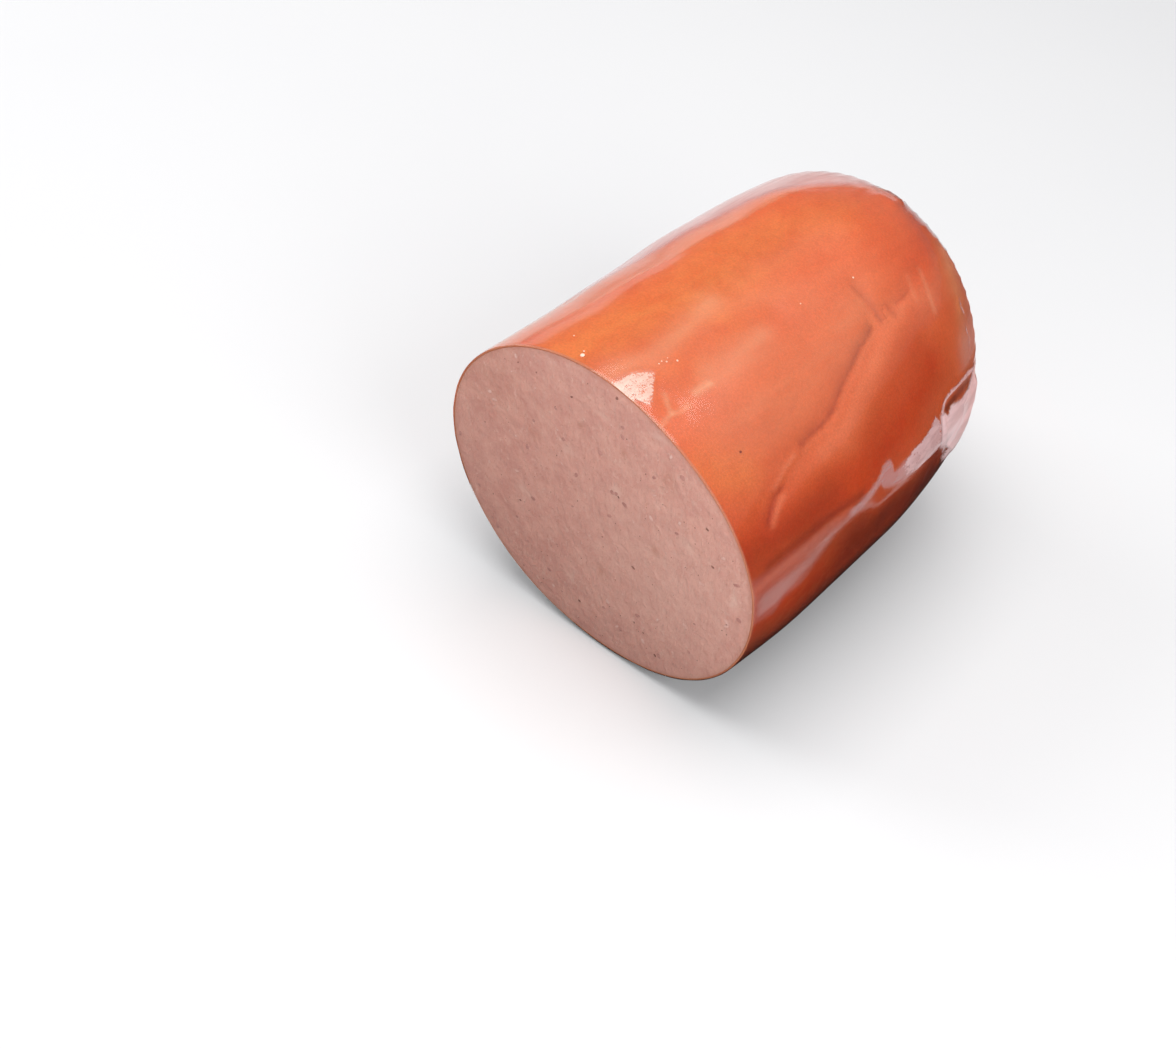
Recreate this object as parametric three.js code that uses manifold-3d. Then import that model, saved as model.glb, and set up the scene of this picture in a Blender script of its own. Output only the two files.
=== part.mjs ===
// A luncheon sausage, cut open across its near end: a thick, slightly bent roll with a full
// rounded far end, lying on its side. Millimetres, +Z up. The roll runs along +Y, the cut faces -Y,
// and the origin is on the table under the middle of the roll's box.

import * as THREE from 'three';
import * as BufferGeometryUtils from 'three/addons/utils/BufferGeometryUtils.js';
import Module from 'manifold-3d';

// Driving dimensions, mm. Stations are measured along the roll from the middle of the cut.
const CUT_RADIUS = 60;
const BELLY_RADIUS = 62;
const DOME_START = 81;
const ROLL_LENGTH = 162;
const DOME_POWER = 3.4;

// The centre line: how far it ends up to the left, how far it rises and how far it first sinks.
const BEND_LEFT = 8.3;
const BEND_UP = 4.7;
const AXIS_SINK = 1.9;
const CUT_HEIGHT = 61.5;

// The oval of the section, as shares of its radius: wider than tall at the cut, taller at the far end,
// and in both with its long way leaning down to the right.
const CUT_WIDER = 0.027;
const CUT_LEAN = 0.047;
const DOME_TALLER = 0.025;
const DOME_LEAN = 0.012;
const THREE_LOBES = 0.006;

// The knife went through a little askew: degrees to the left, and degrees up, of straight along the roll.
const KNIFE_TURN = 3.9;
const KNIFE_TILT = 1.6;

// The roll's own weight presses a long flat into its underside.
const REST_FLAT_DEPTH = 2;

// Soft unevenness of the filled skin: its height and its number of waves round and along the roll.
const SWELLS = [
  { height: 0.35, around: 3, along: 2, shift: 0.8 },
  { height: 0.25, around: 5, along: 3, shift: 2.6 },
  { height: 0.2, around: 2, along: 5, shift: 4.1 },
];

// Folds in the skin. Each runs straight between two places, given as [station, degrees up from the
// right-hand side]. A negative height is a valley.
const FOLDS = [
  { from: [16, 30], to: [88, 54], height: -0.4, halfWidth: 5 },
  { from: [24, 26], to: [100, 48], height: 0.5, halfWidth: 9 },
  { from: [88, 55], to: [94, 68], height: -0.45, halfWidth: 4 },
  { from: [102, 57], to: [122, 59], height: -0.4, halfWidth: 4 },
  { from: [8, 9], to: [58, 9], height: 0.4, halfWidth: 5 },
  { from: [60, 10], to: [112, 19], height: -0.2, halfWidth: 5 },
  { from: [70, 5], to: [118, 6], height: 0.6, halfWidth: 6 },
  { from: [10, 72], to: [60, 76], height: -0.5, halfWidth: 5 },
  { from: [20, 112], to: [110, 108], height: 0.35, halfWidth: 7 },
  { from: [138, 84], to: [146, 84], height: 0.8, halfWidth: 5 },
  { from: [40, 168], to: [112, 158], height: -0.9, halfWidth: 5 },
  { from: [66, 196], to: [126, 204], height: -0.8, halfWidth: 5 },
];

// The far end is drawn together: a dimple with pleats running into it.
const DIMPLE_DEPTH = 5;
const DIMPLE_RADIUS = 9;
const PLEATS = [
  { height: 0.9, count: 11, shift: 0.6 },
  { height: 0.6, count: 17, shift: 2.1 },
];
const PLEAT_INNER = 3;
const PLEAT_OUTER = 34;

// How finely the roll is divided.
const COLUMNS = 92;
const BODY_RINGS = 24;
const DOME_RINGS = 28;
const KNIFE_ALLOWANCE = 14;

// Points of one shape closer than this are one point.
const MERGE_DISTANCE = 0.001;

// Side of the blocks that cut away what lies before the knife and under the table's face.
const CUTTER_SIZE = 600;

const rad = THREE.MathUtils.degToRad;
const { clamp, smoothstep } = THREE.MathUtils;

// Radius of the roll before it is made oval, over the stretch ahead of the dome.
function bodyRadius(station) {
  const share = clamp(station / DOME_START, -1, 1);
  return CUT_RADIUS + (BELLY_RADIUS - CUT_RADIUS) * Math.sin(share * Math.PI / 2);
}

// Half the roll's outline, as radius and station, from the axis before the cut to the pole of the dome.
function rollProfile() {
  const points = [new THREE.Vector2(0, -KNIFE_ALLOWANCE)];
  for (let ring = 0; ring < BODY_RINGS; ring++) {
    const station = -KNIFE_ALLOWANCE + (DOME_START + KNIFE_ALLOWANCE) * ring / BODY_RINGS;
    points.push(new THREE.Vector2(bodyRadius(station), station));
  }
  for (let ring = 0; ring < DOME_RINGS; ring++) {
    const angle = Math.PI / 2 * ring / DOME_RINGS;
    const x = Math.cos(angle);
    const y = Math.sin(angle);
    const reach = (x ** DOME_POWER + y ** DOME_POWER) ** (-1 / DOME_POWER);
    const station = DOME_START + (ROLL_LENGTH - DOME_START) * y * reach;
    points.push(new THREE.Vector2(BELLY_RADIUS * x * reach, station));
  }
  points.push(new THREE.Vector2(0, ROLL_LENGTH));
  return points;
}

// Middle of the section at a station.
function centreLine(station) {
  const share = station / ROLL_LENGTH;
  const bend = share * Math.abs(share);
  return new THREE.Vector3(-BEND_LEFT * bend, station, CUT_HEIGHT - AXIS_SINK * share + BEND_UP * bend);
}

// The section's radius at an angle, as a share of the round one.
function ovalShare(station, angle) {
  const share = clamp(station / ROLL_LENGTH, 0, 1);
  const wider = THREE.MathUtils.lerp(CUT_WIDER, -DOME_TALLER, share);
  const lean = THREE.MathUtils.lerp(CUT_LEAN, DOME_LEAN, share);
  return 1 + wider * Math.cos(2 * angle) - lean * Math.sin(2 * angle) - THREE_LOBES * Math.sin(3 * angle);
}

// Distance over the skin from a place to a fold's line.
function distanceToFold(station, angle, fold) {
  const arc = (degrees) => rad(degrees) * BELLY_RADIUS;
  let turn = angle - rad((fold.from[1] + fold.to[1]) / 2);
  turn = Math.atan2(Math.sin(turn), Math.cos(turn)) + rad((fold.from[1] + fold.to[1]) / 2);
  const start = new THREE.Vector2(fold.from[0], arc(fold.from[1]));
  const end = new THREE.Vector2(fold.to[0], arc(fold.to[1]));
  const place = new THREE.Vector2(station, turn * BELLY_RADIUS);
  const line = end.clone().sub(start);
  const along = clamp(place.clone().sub(start).dot(line) / line.lengthSq(), 0, 1);
  return place.distanceTo(start.add(line.multiplyScalar(along)));
}

// Height of folds and swells over the plain skin. It fades out towards the pole.
function skinRelief(station, angle, radius) {
  let height = 0;
  for (const fold of FOLDS) {
    height += fold.height * Math.exp(-((distanceToFold(station, angle, fold) / fold.halfWidth) ** 2));
  }
  for (const swell of SWELLS) {
    const along = 2 * Math.PI * swell.along * station / ROLL_LENGTH;
    height += swell.height * Math.sin(swell.around * angle + swell.shift) * Math.cos(along + swell.shift);
  }
  return height * smoothstep(radius, 0, BELLY_RADIUS / 2);
}

// How far the drawn-together end sinks in, back along the roll.
function endSink(station, angle, radius) {
  if (station < DOME_START) {
    return 0;
  }
  let sink = DIMPLE_DEPTH * Math.exp(-((radius / DIMPLE_RADIUS) ** 2));
  const fade = smoothstep(radius, 0, PLEAT_INNER) * (1 - smoothstep(radius, PLEAT_INNER, PLEAT_OUTER));
  for (const pleat of PLEATS) {
    sink += pleat.height * fade * (1 - Math.cos(pleat.count * angle + pleat.shift)) / 2;
  }
  return sink;
}

// The whole roll, both ends closed: a turned form, bent, made oval and given its relief.
function rollGeometry() {
  const geometry = new THREE.LatheGeometry(rollProfile(), COLUMNS);
  const position = geometry.getAttribute('position');
  for (let i = 0; i < position.count; i++) {
    const station = position.getY(i);
    const radius = Math.hypot(position.getX(i), position.getZ(i));
    const angle = Math.atan2(position.getZ(i), position.getX(i));
    const grown = radius * ovalShare(station, angle) + skinRelief(station, angle, radius);
    const reach = radius > 0 ? grown : 0;
    const place = centreLine(station);
    place.x += reach * Math.cos(angle);
    place.y -= endSink(station, angle, radius);
    place.z += reach * Math.sin(angle);
    position.setXYZ(i, place.x, place.y, place.z);
  }
  return geometry;
}

const wasm = await Module();
wasm.setup();

// A closed geometry as a solid that can be cut.
function toSolid(geometry) {
  const bare = geometry.clone();
  bare.deleteAttribute('normal');
  bare.deleteAttribute('uv');
  const merged = BufferGeometryUtils.mergeVertices(bare, MERGE_DISTANCE);
  const triangles = [];
  for (let i = 0; i < merged.index.count; i += 3) {
    const [a, b, c] = [0, 1, 2].map((corner) => merged.index.getX(i + corner));
    if (a !== b && b !== c && c !== a) {
      triangles.push(a, b, c);
    }
  }
  const vertProperties = new Float32Array(merged.getAttribute('position').array);
  const triVerts = new Uint32Array(triangles);
  return new wasm.Manifold(new wasm.Mesh({ numProp: 3, vertProperties, triVerts }));
}

// A solid back as a geometry with its own normals.
function toGeometry(solid) {
  const mesh = solid.getMesh();
  const geometry = new THREE.BufferGeometry();
  geometry.setAttribute('position', new THREE.BufferAttribute(new Float32Array(mesh.vertProperties), 3));
  geometry.setIndex(new THREE.BufferAttribute(new Uint32Array(mesh.triVerts), 1));
  geometry.computeVertexNormals();
  return geometry;
}

// Everything on the near side of the knife, as a block whose far face is the cut.
function knifeBlock() {
  const block = new THREE.BoxGeometry(CUTTER_SIZE, CUTTER_SIZE, CUTTER_SIZE);
  block.translate(0, -CUTTER_SIZE / 2, 0);
  block.rotateX(rad(KNIFE_TILT));
  block.rotateZ(rad(KNIFE_TURN));
  block.translate(0, 0, CUT_HEIGHT);
  return block;
}

// Everything under the table's face. The roll's lowest point is found first, and the flat lies above it.
function tableBlock(lowest) {
  const block = new THREE.BoxGeometry(CUTTER_SIZE, CUTTER_SIZE, CUTTER_SIZE);
  block.translate(0, 0, lowest + REST_FLAT_DEPTH - CUTTER_SIZE / 2);
  return block;
}

// The roll as it lies: cut open, flat underneath, and moved so that its box stands on the origin.
function sausageGeometry() {
  const roll = rollGeometry();
  roll.computeBoundingBox();
  const cut = toSolid(roll).subtract(toSolid(knifeBlock()));
  const resting = cut.subtract(toSolid(tableBlock(roll.boundingBox.min.z)));
  const geometry = toGeometry(resting);
  geometry.computeBoundingBox();
  const middle = geometry.boundingBox.getCenter(new THREE.Vector3());
  geometry.translate(-middle.x, -middle.y, -geometry.boundingBox.min.z);
  return geometry;
}

const smokedSkin = new THREE.MeshStandardMaterial({
  color: new THREE.Color('#d9622f'),
  roughness: 0.35,
  metalness: 0,
});

const sausage = new THREE.Mesh(sausageGeometry(), smokedSkin);
sausage.name = 'sausage';

const group = new THREE.Group();
group.add(sausage);

export default group;
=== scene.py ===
"""A luncheon sausage, cut open across its near end: its meat, its smoked skin and the clear film round it.

Sizes are millimetres unless a name says otherwise. Meshes are made in metres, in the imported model's frame.
A place on the roll is a station, measured along it from the middle of the cut, and an angle in degrees,
measured up from its right-hand side.
"""

from __future__ import annotations

import logging
import math
from dataclasses import dataclass
from enum import Enum
from functools import cached_property

import bpy
import numpy as np
from mathutils import Matrix, Vector


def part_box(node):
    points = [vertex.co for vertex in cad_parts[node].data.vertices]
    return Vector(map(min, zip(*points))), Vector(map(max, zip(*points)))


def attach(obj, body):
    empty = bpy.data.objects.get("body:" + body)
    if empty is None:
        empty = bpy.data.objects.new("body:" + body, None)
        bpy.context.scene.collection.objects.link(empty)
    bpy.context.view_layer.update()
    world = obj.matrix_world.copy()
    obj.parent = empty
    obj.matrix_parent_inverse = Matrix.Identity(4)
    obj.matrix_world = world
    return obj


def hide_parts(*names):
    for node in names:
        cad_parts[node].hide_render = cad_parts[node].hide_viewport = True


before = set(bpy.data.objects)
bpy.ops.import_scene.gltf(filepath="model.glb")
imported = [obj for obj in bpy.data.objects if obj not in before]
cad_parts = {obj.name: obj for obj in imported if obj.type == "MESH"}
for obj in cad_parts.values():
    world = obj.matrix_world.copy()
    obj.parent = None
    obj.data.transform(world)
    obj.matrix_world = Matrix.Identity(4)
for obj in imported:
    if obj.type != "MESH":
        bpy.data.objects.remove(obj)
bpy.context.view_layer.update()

MM = 0.001
PHOTO_WIDTH_PX = 1176
SENSOR_WIDTH = 36.0
SHARP_DEGREES = 50.0
ROLL_MIDDLE_M = (0.0, 0.0, 0.06)
NODE = "sausage"
BODY = "root"

# Up to the first height points lie pressed on the table, and from the second on they may be uneven.
PRESSED_BELOW = 0.5
FREE_ABOVE = 5.0
SQUARE_CM_IN_M2 = 1e4

Place = tuple[float, float]
Range = tuple[float, float]
Triple = tuple[float, float, float]
Colour = Triple

log = logging.getLogger("luncheon_sausage")


class Slot(Enum):
    """The record's material slots."""

    SKIN = "smoked_skin"
    MEAT = "cut_meat"
    FILM = "clear_film"


def smoothstep(value: np.ndarray, low: float, high: float) -> np.ndarray:
    """Rises smoothly from 0 to 1 as the value goes from low to high."""
    share = np.clip((value - low) / (high - low), 0.0, 1.0)
    return share * share * (3.0 - 2.0 * share)


def linear(red: int, green: int, blue: int) -> Colour:
    """Turns a colour as seen on a screen, 0 to 255, into the linear one that shaders take."""
    shares = [part / 255.0 for part in (red, green, blue)]
    return tuple(s / 12.92 if s <= 0.04045 else ((s + 0.055) / 1.055) ** 2.4 for s in shares)


def in_scene(name: str, data: bpy.types.ID) -> bpy.types.Object:
    """Makes an object of a mesh, light or camera, and puts it in the scene.

    Args:
        name: Its name.
        data: The mesh, light or camera.

    Returns:
        The object.
    """
    thing = bpy.data.objects.new(name, data)
    bpy.context.scene.collection.objects.link(thing)
    return thing


@dataclass(frozen=True)
class Stroke:
    """A line of places on the roll: its half width, and how strongly it shows."""

    places: tuple[Place, ...]
    half_width: float
    mark: float = 0.0

    def nearness(self, station: np.ndarray, angle: np.ndarray, radius: float) -> np.ndarray:
        """Says how near points of the roll are to the line: 1 on it, falling to 0 as a bell does."""
        return np.exp(-((self.measured(station, angle, radius)[0] / self.half_width) ** 2))

    def measured(
        self,
        station: np.ndarray,
        angle: np.ndarray,
        radius: float,
    ) -> tuple[np.ndarray, np.ndarray, np.ndarray]:
        """Measures points of the roll from the line, over the skin.

        Args:
            station: Stations of the points.
            angle: Their angles, in radians.
            radius: The roll's radius, which turns an angle into a width.

        Returns:
            How far each point is from the line, how far off it towards higher angles, and how far past its
            ends.
        """
        middle = math.radians(sum(place[1] for place in self.places) / len(self.places))
        turn = np.arctan2(np.sin(angle - middle), np.cos(angle - middle)) + middle
        across = turn * radius
        shape = np.broadcast(station, angle).shape
        nearest, off, past = np.full(shape, np.inf), np.zeros(shape), np.zeros(shape)
        last = len(self.places) - 2
        for number, ((s0, a0), (s1, a1)) in enumerate(zip(self.places, self.places[1:])):
            y0, y1 = math.radians(a0) * radius, math.radians(a1) * radius
            length = math.hypot(s1 - s0, y1 - y0)
            run, rise = (s1 - s0) / length, (y1 - y0) / length
            along = (station - s0) * run + (across - y0) * rise
            beside = (across - y0) * run - (station - s0) * rise
            before, after = np.maximum(-along, 0.0), np.maximum(along - length, 0.0)
            gap = np.hypot(beside, before + after)
            closer = gap < nearest
            nearest = np.where(closer, gap, nearest)
            off = np.where(closer, beside, off)
            over = (before if number == 0 else 0.0) + (after if number == last else 0.0)
            past = np.where(closer, over, past)
        return nearest, off, past


@dataclass(frozen=True)
class Fold(Stroke):
    """A fold along a line of places. A negative height is a valley."""

    height: float = 0.0


def shown_by(strokes: tuple[Stroke, ...], grid: RollGrid, radius: float) -> np.ndarray:
    """Adds up how strongly strokes show at each point, so that where they cross none goes past 1.

    Args:
        strokes: The strokes.
        grid: The points.
        radius: The roll's radius.

    Returns:
        Numbers from 0 to 1.
    """
    rest = np.ones(grid.station.shape)
    for stroke in strokes:
        rest *= 1.0 - stroke.mark * stroke.nearness(grid.station, grid.angle, radius)
    return 1.0 - rest


@dataclass(frozen=True)
class Swell:
    """Soft unevenness of the filled skin: its height and its waves round and along the roll."""

    height: float
    around: int
    along: int
    shift: float


@dataclass(frozen=True)
class Pleats:
    """Pleats that run into the drawn-together far end."""

    height: float
    count: int
    shift: float


@dataclass(frozen=True)
class RollGrid:
    """The roll's surface as rings of points, from the cut to just before the pole."""

    station: np.ndarray
    angle: np.ndarray
    radius: np.ndarray
    points: np.ndarray

    def normals(self) -> np.ndarray:
        """Works out which way the surface faces at each point.

        Returns:
            Outward directions of length 1, one for each point.
        """
        along = np.gradient(self.points, axis=0)
        around = np.roll(self.points, -1, axis=1) - np.roll(self.points, 1, axis=1)
        facing = np.cross(along, around)
        facing /= np.linalg.norm(facing, axis=-1, keepdims=True)
        middle = self.points.mean(axis=1, keepdims=True)
        outward = (facing * (self.points - middle)).sum(axis=-1).mean()
        return facing if outward > 0 else -facing

    def lifted(self, lift: np.ndarray | float) -> np.ndarray:
        """Moves the points outwards, all alike or each by its own number."""
        distance = np.broadcast_to(lift, self.station.shape)[..., None]
        return self.points + self.normals() * distance


@dataclass(frozen=True)
class RollForm:
    """The roll's outer form, as the solid has it, with the folds that the skin shows."""

    cut_radius: float = 60.0
    belly_radius: float = 62.0
    dome_start: float = 81.0
    length: float = 162.0
    dome_power: float = 3.4
    bend_left: float = 8.3
    bend_up: float = 4.7
    axis_sink: float = 1.9
    cut_height: float = 61.5
    cut_wider: float = 0.027
    cut_lean: float = 0.047
    dome_taller: float = 0.025
    dome_lean: float = 0.012
    three_lobes: float = 0.006
    knife_turn: float = 3.9
    knife_tilt: float = 1.6
    rest_flat_depth: float = 2.0
    rest_rounding: float = 0.35
    dimple_depth: float = 5.0
    dimple_radius: float = 9.0
    pleat_inner: float = 3.0
    pleat_outer: float = 34.0
    knife_steps: int = 6
    coarse_rings: tuple[int, int, int] = (360, 119, 120)
    profile_steps: int = 2000
    swells: tuple[Swell, ...] = (
        Swell(0.35, 3, 2, 0.8),
        Swell(0.25, 5, 3, 2.6),
        Swell(0.2, 2, 5, 4.1),
    )
    pleats: tuple[Pleats, ...] = (Pleats(0.9, 11, 0.6), Pleats(0.6, 17, 2.1))
    folds: tuple[Fold, ...] = (
        Fold(((16, 30), (88, 54)), 5.0, 0.0, -0.4),
        Fold(((24, 26), (100, 48)), 9.0, 0.0, 0.5),
        Fold(((88, 55), (94, 68)), 4.0, 0.0, -0.45),
        Fold(((102, 57), (122, 59)), 4.0, 0.0, -0.4),
        Fold(((8, 9), (58, 9)), 5.0, 0.0, 0.4),
        Fold(((60, 10), (112, 19)), 5.0, 0.0, -0.2),
        Fold(((70, 5), (118, 6)), 6.0, 0.0, 0.6),
        Fold(((10, 72), (60, 76)), 5.0, 0.0, -0.5),
        Fold(((20, 112), (110, 108)), 7.0, 0.0, 0.35),
        Fold(((138, 84), (146, 84)), 5.0, 0.0, 0.8),
        Fold(((40, 168), (112, 158)), 5.0, 0.0, -0.9),
        Fold(((66, 196), (126, 204)), 5.0, 0.0, -0.8),
    )
    creases: tuple[Fold, ...] = (
        Fold(((40, 40.4), (44, 41), (52, 41.5), (58, 43.5), (63, 46.5), (70, 49)), 1.8, 0.8, -0.1),
        Fold(((70, 49), (78, 52.5), (87, 55)), 1.6, 0.9, -0.1),
        Fold(((16.8, 26.8), (19.8, 30), (23, 32.4), (25.4, 33)), 1.3, 0.85, -0.12),
        Fold(((23.4, 34), (29.4, 37.2), (34.9, 38.8), (44, 40)), 1.2, 0.0, 0.14),
        Fold(((90.8, 68), (91.5, 64), (92, 59), (92, 55.5)), 1.4, 0.65, -0.14),
        Fold(((97.5, 57.6), (98, 54)), 1.2, 0.6, -0.12),
        Fold(((102.6, 56), (110.6, 56.4)), 1.4, 0.4, -0.12),
        Fold(((6, 12.6), (17, 13), (27, 13.6), (42, 14.2), (51, 14.6)), 1.3, 0.6, -0.1),
        Fold(((44, 166), (70, 163), (104, 158)), 1.8, 0.5, -0.25),
        Fold(((70, 197), (96, 201), (122, 204)), 1.8, 0.5, -0.25),
        Fold(((28, 134), (52, 138), (70, 136)), 1.6, 0.4, -0.2),
    )

    def centre(self, station: np.ndarray) -> tuple[np.ndarray, np.ndarray]:
        """Finds the middle of the section at a station.

        Args:
            station: The stations.

        Returns:
            How far the middle is to the right, and how high it is.
        """
        share = station / self.length
        bend = share * np.abs(share)
        height = self.cut_height - self.axis_sink * share + self.bend_up * bend
        return -self.bend_left * bend, height

    def oval_share(self, station: np.ndarray, angle: np.ndarray) -> np.ndarray:
        """Gives the section's radius at an angle as a share of the round one.

        Args:
            station: The stations.
            angle: The angles, in radians.

        Returns:
            Shares, close to 1.
        """
        share = np.clip(station / self.length, 0.0, 1.0)
        wider = self.cut_wider + (-self.dome_taller - self.cut_wider) * share
        lean = self.cut_lean + (self.dome_lean - self.cut_lean) * share
        lobes = self.three_lobes * np.sin(3 * angle)
        return 1 + wider * np.cos(2 * angle) - lean * np.sin(2 * angle) - lobes

    def relief(self, station: np.ndarray, angle: np.ndarray, radius: np.ndarray) -> np.ndarray:
        """Gives the height of folds, creases and swells over the plain skin.

        Args:
            station: The stations.
            angle: The angles, in radians.
            radius: Distances from the axis, as the relief fades out towards the pole.

        Returns:
            Heights.
        """
        height = np.zeros(np.broadcast(station, angle).shape)
        for fold in self.folds + self.creases:
            height += fold.height * fold.nearness(station, angle, self.belly_radius)
        for swell in self.swells:
            along = 2 * math.pi * swell.along * station / self.length
            height += swell.height * np.sin(swell.around * angle + swell.shift) * np.cos(along + swell.shift)
        return height * smoothstep(radius, 0.0, self.belly_radius / 2)

    def end_sink(self, station: np.ndarray, angle: np.ndarray, radius: np.ndarray) -> np.ndarray:
        """Says how far the drawn-together end sinks in, back along the roll.

        Args:
            station: The stations.
            angle: The angles, in radians.
            radius: Distances from the axis.

        Returns:
            Depths, 0 ahead of the dome.
        """
        sink = self.dimple_depth * np.exp(-((radius / self.dimple_radius) ** 2))
        fade = smoothstep(radius, 0.0, self.pleat_inner)
        fade = fade * (1 - smoothstep(radius, self.pleat_inner, self.pleat_outer))
        for pleat in self.pleats:
            sink = sink + pleat.height * fade * (1 - np.cos(pleat.count * angle + pleat.shift)) / 2
        return np.where(station < self.dome_start, 0.0, sink)

    def surface(self, station: np.ndarray, angle: np.ndarray, radius: np.ndarray) -> np.ndarray:
        """Places points on the roll, before it is set down on the table.

        Args:
            station: The stations.
            angle: The angles, in radians.
            radius: Radii of the plain round form at those stations.

        Returns:
            The points.
        """
        reach = radius * self.oval_share(station, angle) + self.relief(station, angle, radius)
        across, up = self.centre(station)
        along = station - self.end_sink(station, angle, radius)
        return np.stack([across + reach * np.cos(angle), along, up + reach * np.sin(angle)], axis=-1)

    def body_radius(self, station: np.ndarray) -> np.ndarray:
        """Gives the radius ahead of the dome, before the section is made oval."""
        share = np.clip(station / self.dome_start, -1.0, 1.0)
        return self.cut_radius + (self.belly_radius - self.cut_radius) * np.sin(share * math.pi / 2)

    def knife_normal(self) -> np.ndarray:
        """Gives the direction that the cut faces."""
        turn, tilt = math.radians(self.knife_turn), math.radians(self.knife_tilt)
        return np.array([math.cos(tilt) * math.sin(turn), -math.cos(tilt) * math.cos(turn), -math.sin(tilt)])

    def cut_station(self, angle: np.ndarray) -> np.ndarray:
        """Finds where the knife leaves the skin.

        Args:
            angle: The angles, in radians.

        Returns:
            The stations of the cut's rim.
        """
        facing = self.knife_normal()
        station = np.zeros_like(angle)
        for _ in range(self.knife_steps):
            point = self.surface(station, angle, self.body_radius(station))
            off = point - np.array([0.0, 0.0, self.cut_height])
            station = station - (off @ facing) / facing[1]
        return station

    def plain_radius(self, station: np.ndarray) -> np.ndarray:
        """Gives the radius at any station, before the section is made oval."""
        share = np.clip((station - self.dome_start) / (self.length - self.dome_start), 0.0, 1.0)
        dome = self.belly_radius * (1.0 - share**self.dome_power) ** (1.0 / self.dome_power)
        return np.where(station < self.dome_start, self.body_radius(station), dome)

    def spot(self, station: float, degrees: float, step: float = 0.5) -> tuple[np.ndarray, np.ndarray]:
        """Finds one place on the roll as it lies.

        Args:
            station: The place's station.
            degrees: Its angle.
            step: How far round it the skin is felt, in millimetres along and degrees round.

        Returns:
            The point and the direction, of length 1, that the skin faces there.
        """
        stations = station + step * np.array([0, 1, -1, 0, 0])
        angles = np.radians(degrees + step * np.array([0, 0, 0, 1, -1]))
        points = self.set_down(self.surface(stations, angles, self.plain_radius(stations)))
        facing = np.cross(points[1] - points[2], points[3] - points[4])
        facing /= np.linalg.norm(facing)
        across, up = self.centre(np.array(station))
        axis = self.set_down(np.array([float(across), station, float(up)]))
        return points[0], facing if facing @ (points[0] - axis) > 0 else -facing

    def dome_profile(self, rings: int) -> tuple[np.ndarray, np.ndarray]:
        """Divides the dome's outline into steps of one length.

        Args:
            rings: How many steps there are from the dome's start to the pole.

        Returns:
            The stations and radii of all steps but the last, which is the pole.
        """
        turn = np.linspace(0.0, math.pi / 2, self.profile_steps)
        power = self.dome_power
        reach = (np.cos(turn) ** power + np.sin(turn) ** power) ** (-1 / power)
        radius = self.belly_radius * np.cos(turn) * reach
        station = self.dome_start + (self.length - self.dome_start) * np.sin(turn) * reach
        walked = np.concatenate([[0.0], np.cumsum(np.hypot(np.diff(radius), np.diff(station)))])
        steps = np.linspace(0.0, walked[-1], rings + 1)[:-1]
        return np.interp(steps, walked, station), np.interp(steps, walked, radius)

    def set_down(self, points: np.ndarray) -> np.ndarray:
        """Sets points of the roll on the table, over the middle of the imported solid's box.

        Args:
            points: Points as surface gives them.

        Returns:
            The points in the model's frame, pressed flat where the table is.
        """
        moved = points + self.place_in_frame
        height = moved[..., 2]
        pressed = (height + np.sqrt(height * height + self.rest_rounding**2)) / 2
        free = height > 4 * self.rest_rounding
        moved[..., 2] = np.where(free, height, pressed)
        return moved

    @cached_property
    def place_in_frame(self) -> np.ndarray:
        """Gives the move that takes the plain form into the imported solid's box.

        Returns:
            The move, found from the box of a coarse copy of the form.
        """
        points = self.surface(*self.rings(*self.coarse_rings)).reshape(-1, 3)
        low, high = points.min(axis=0), points.max(axis=0)
        corner_low, corner_high = (np.array(corner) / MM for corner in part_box(NODE))
        move = (corner_low + corner_high) / 2 - (low + high) / 2
        move[2] = corner_low[2] - low[2] - self.rest_flat_depth
        return move

    def rings(
        self,
        columns: int,
        body_rings: int,
        dome_rings: int,
    ) -> tuple[np.ndarray, np.ndarray, np.ndarray]:
        """Divides the surface into rings, from the cut to just before the pole.

        Args:
            columns: How many points a ring has.
            body_rings: How many rings there are from the cut to the dome's start.
            dome_rings: How many steps there are from there to the pole.

        Returns:
            The points' stations, their angles in radians and the plain radii, a row for each ring.
        """
        angle = np.linspace(-math.pi, math.pi, columns, endpoint=False)[None, :]
        start = self.cut_station(angle[0])[None, :]
        body = start + (self.dome_start - start) * (np.arange(body_rings) / body_rings)[:, None]
        dome, dome_radius = self.dome_profile(dome_rings)
        ones = np.ones((1, columns))
        station = np.concatenate([body, dome[:, None] * ones])
        radius = np.concatenate([self.body_radius(body), dome_radius[:, None] * ones])
        return station, np.broadcast_to(angle, station.shape), radius

    def pole(self) -> np.ndarray:
        """Gives the far end's last point, as one row of points."""
        zero = np.zeros(1)
        return self.set_down(self.surface(np.array([self.length]), zero, zero))

    def grid(self, columns: int, body_rings: int, dome_rings: int) -> RollGrid:
        """Makes the rings' points, set down in the model's frame, from the same numbers as rings."""
        station, angle, radius = self.rings(columns, body_rings, dome_rings)
        return RollGrid(station, angle, radius, self.set_down(self.surface(station, angle, radius)))


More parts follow.
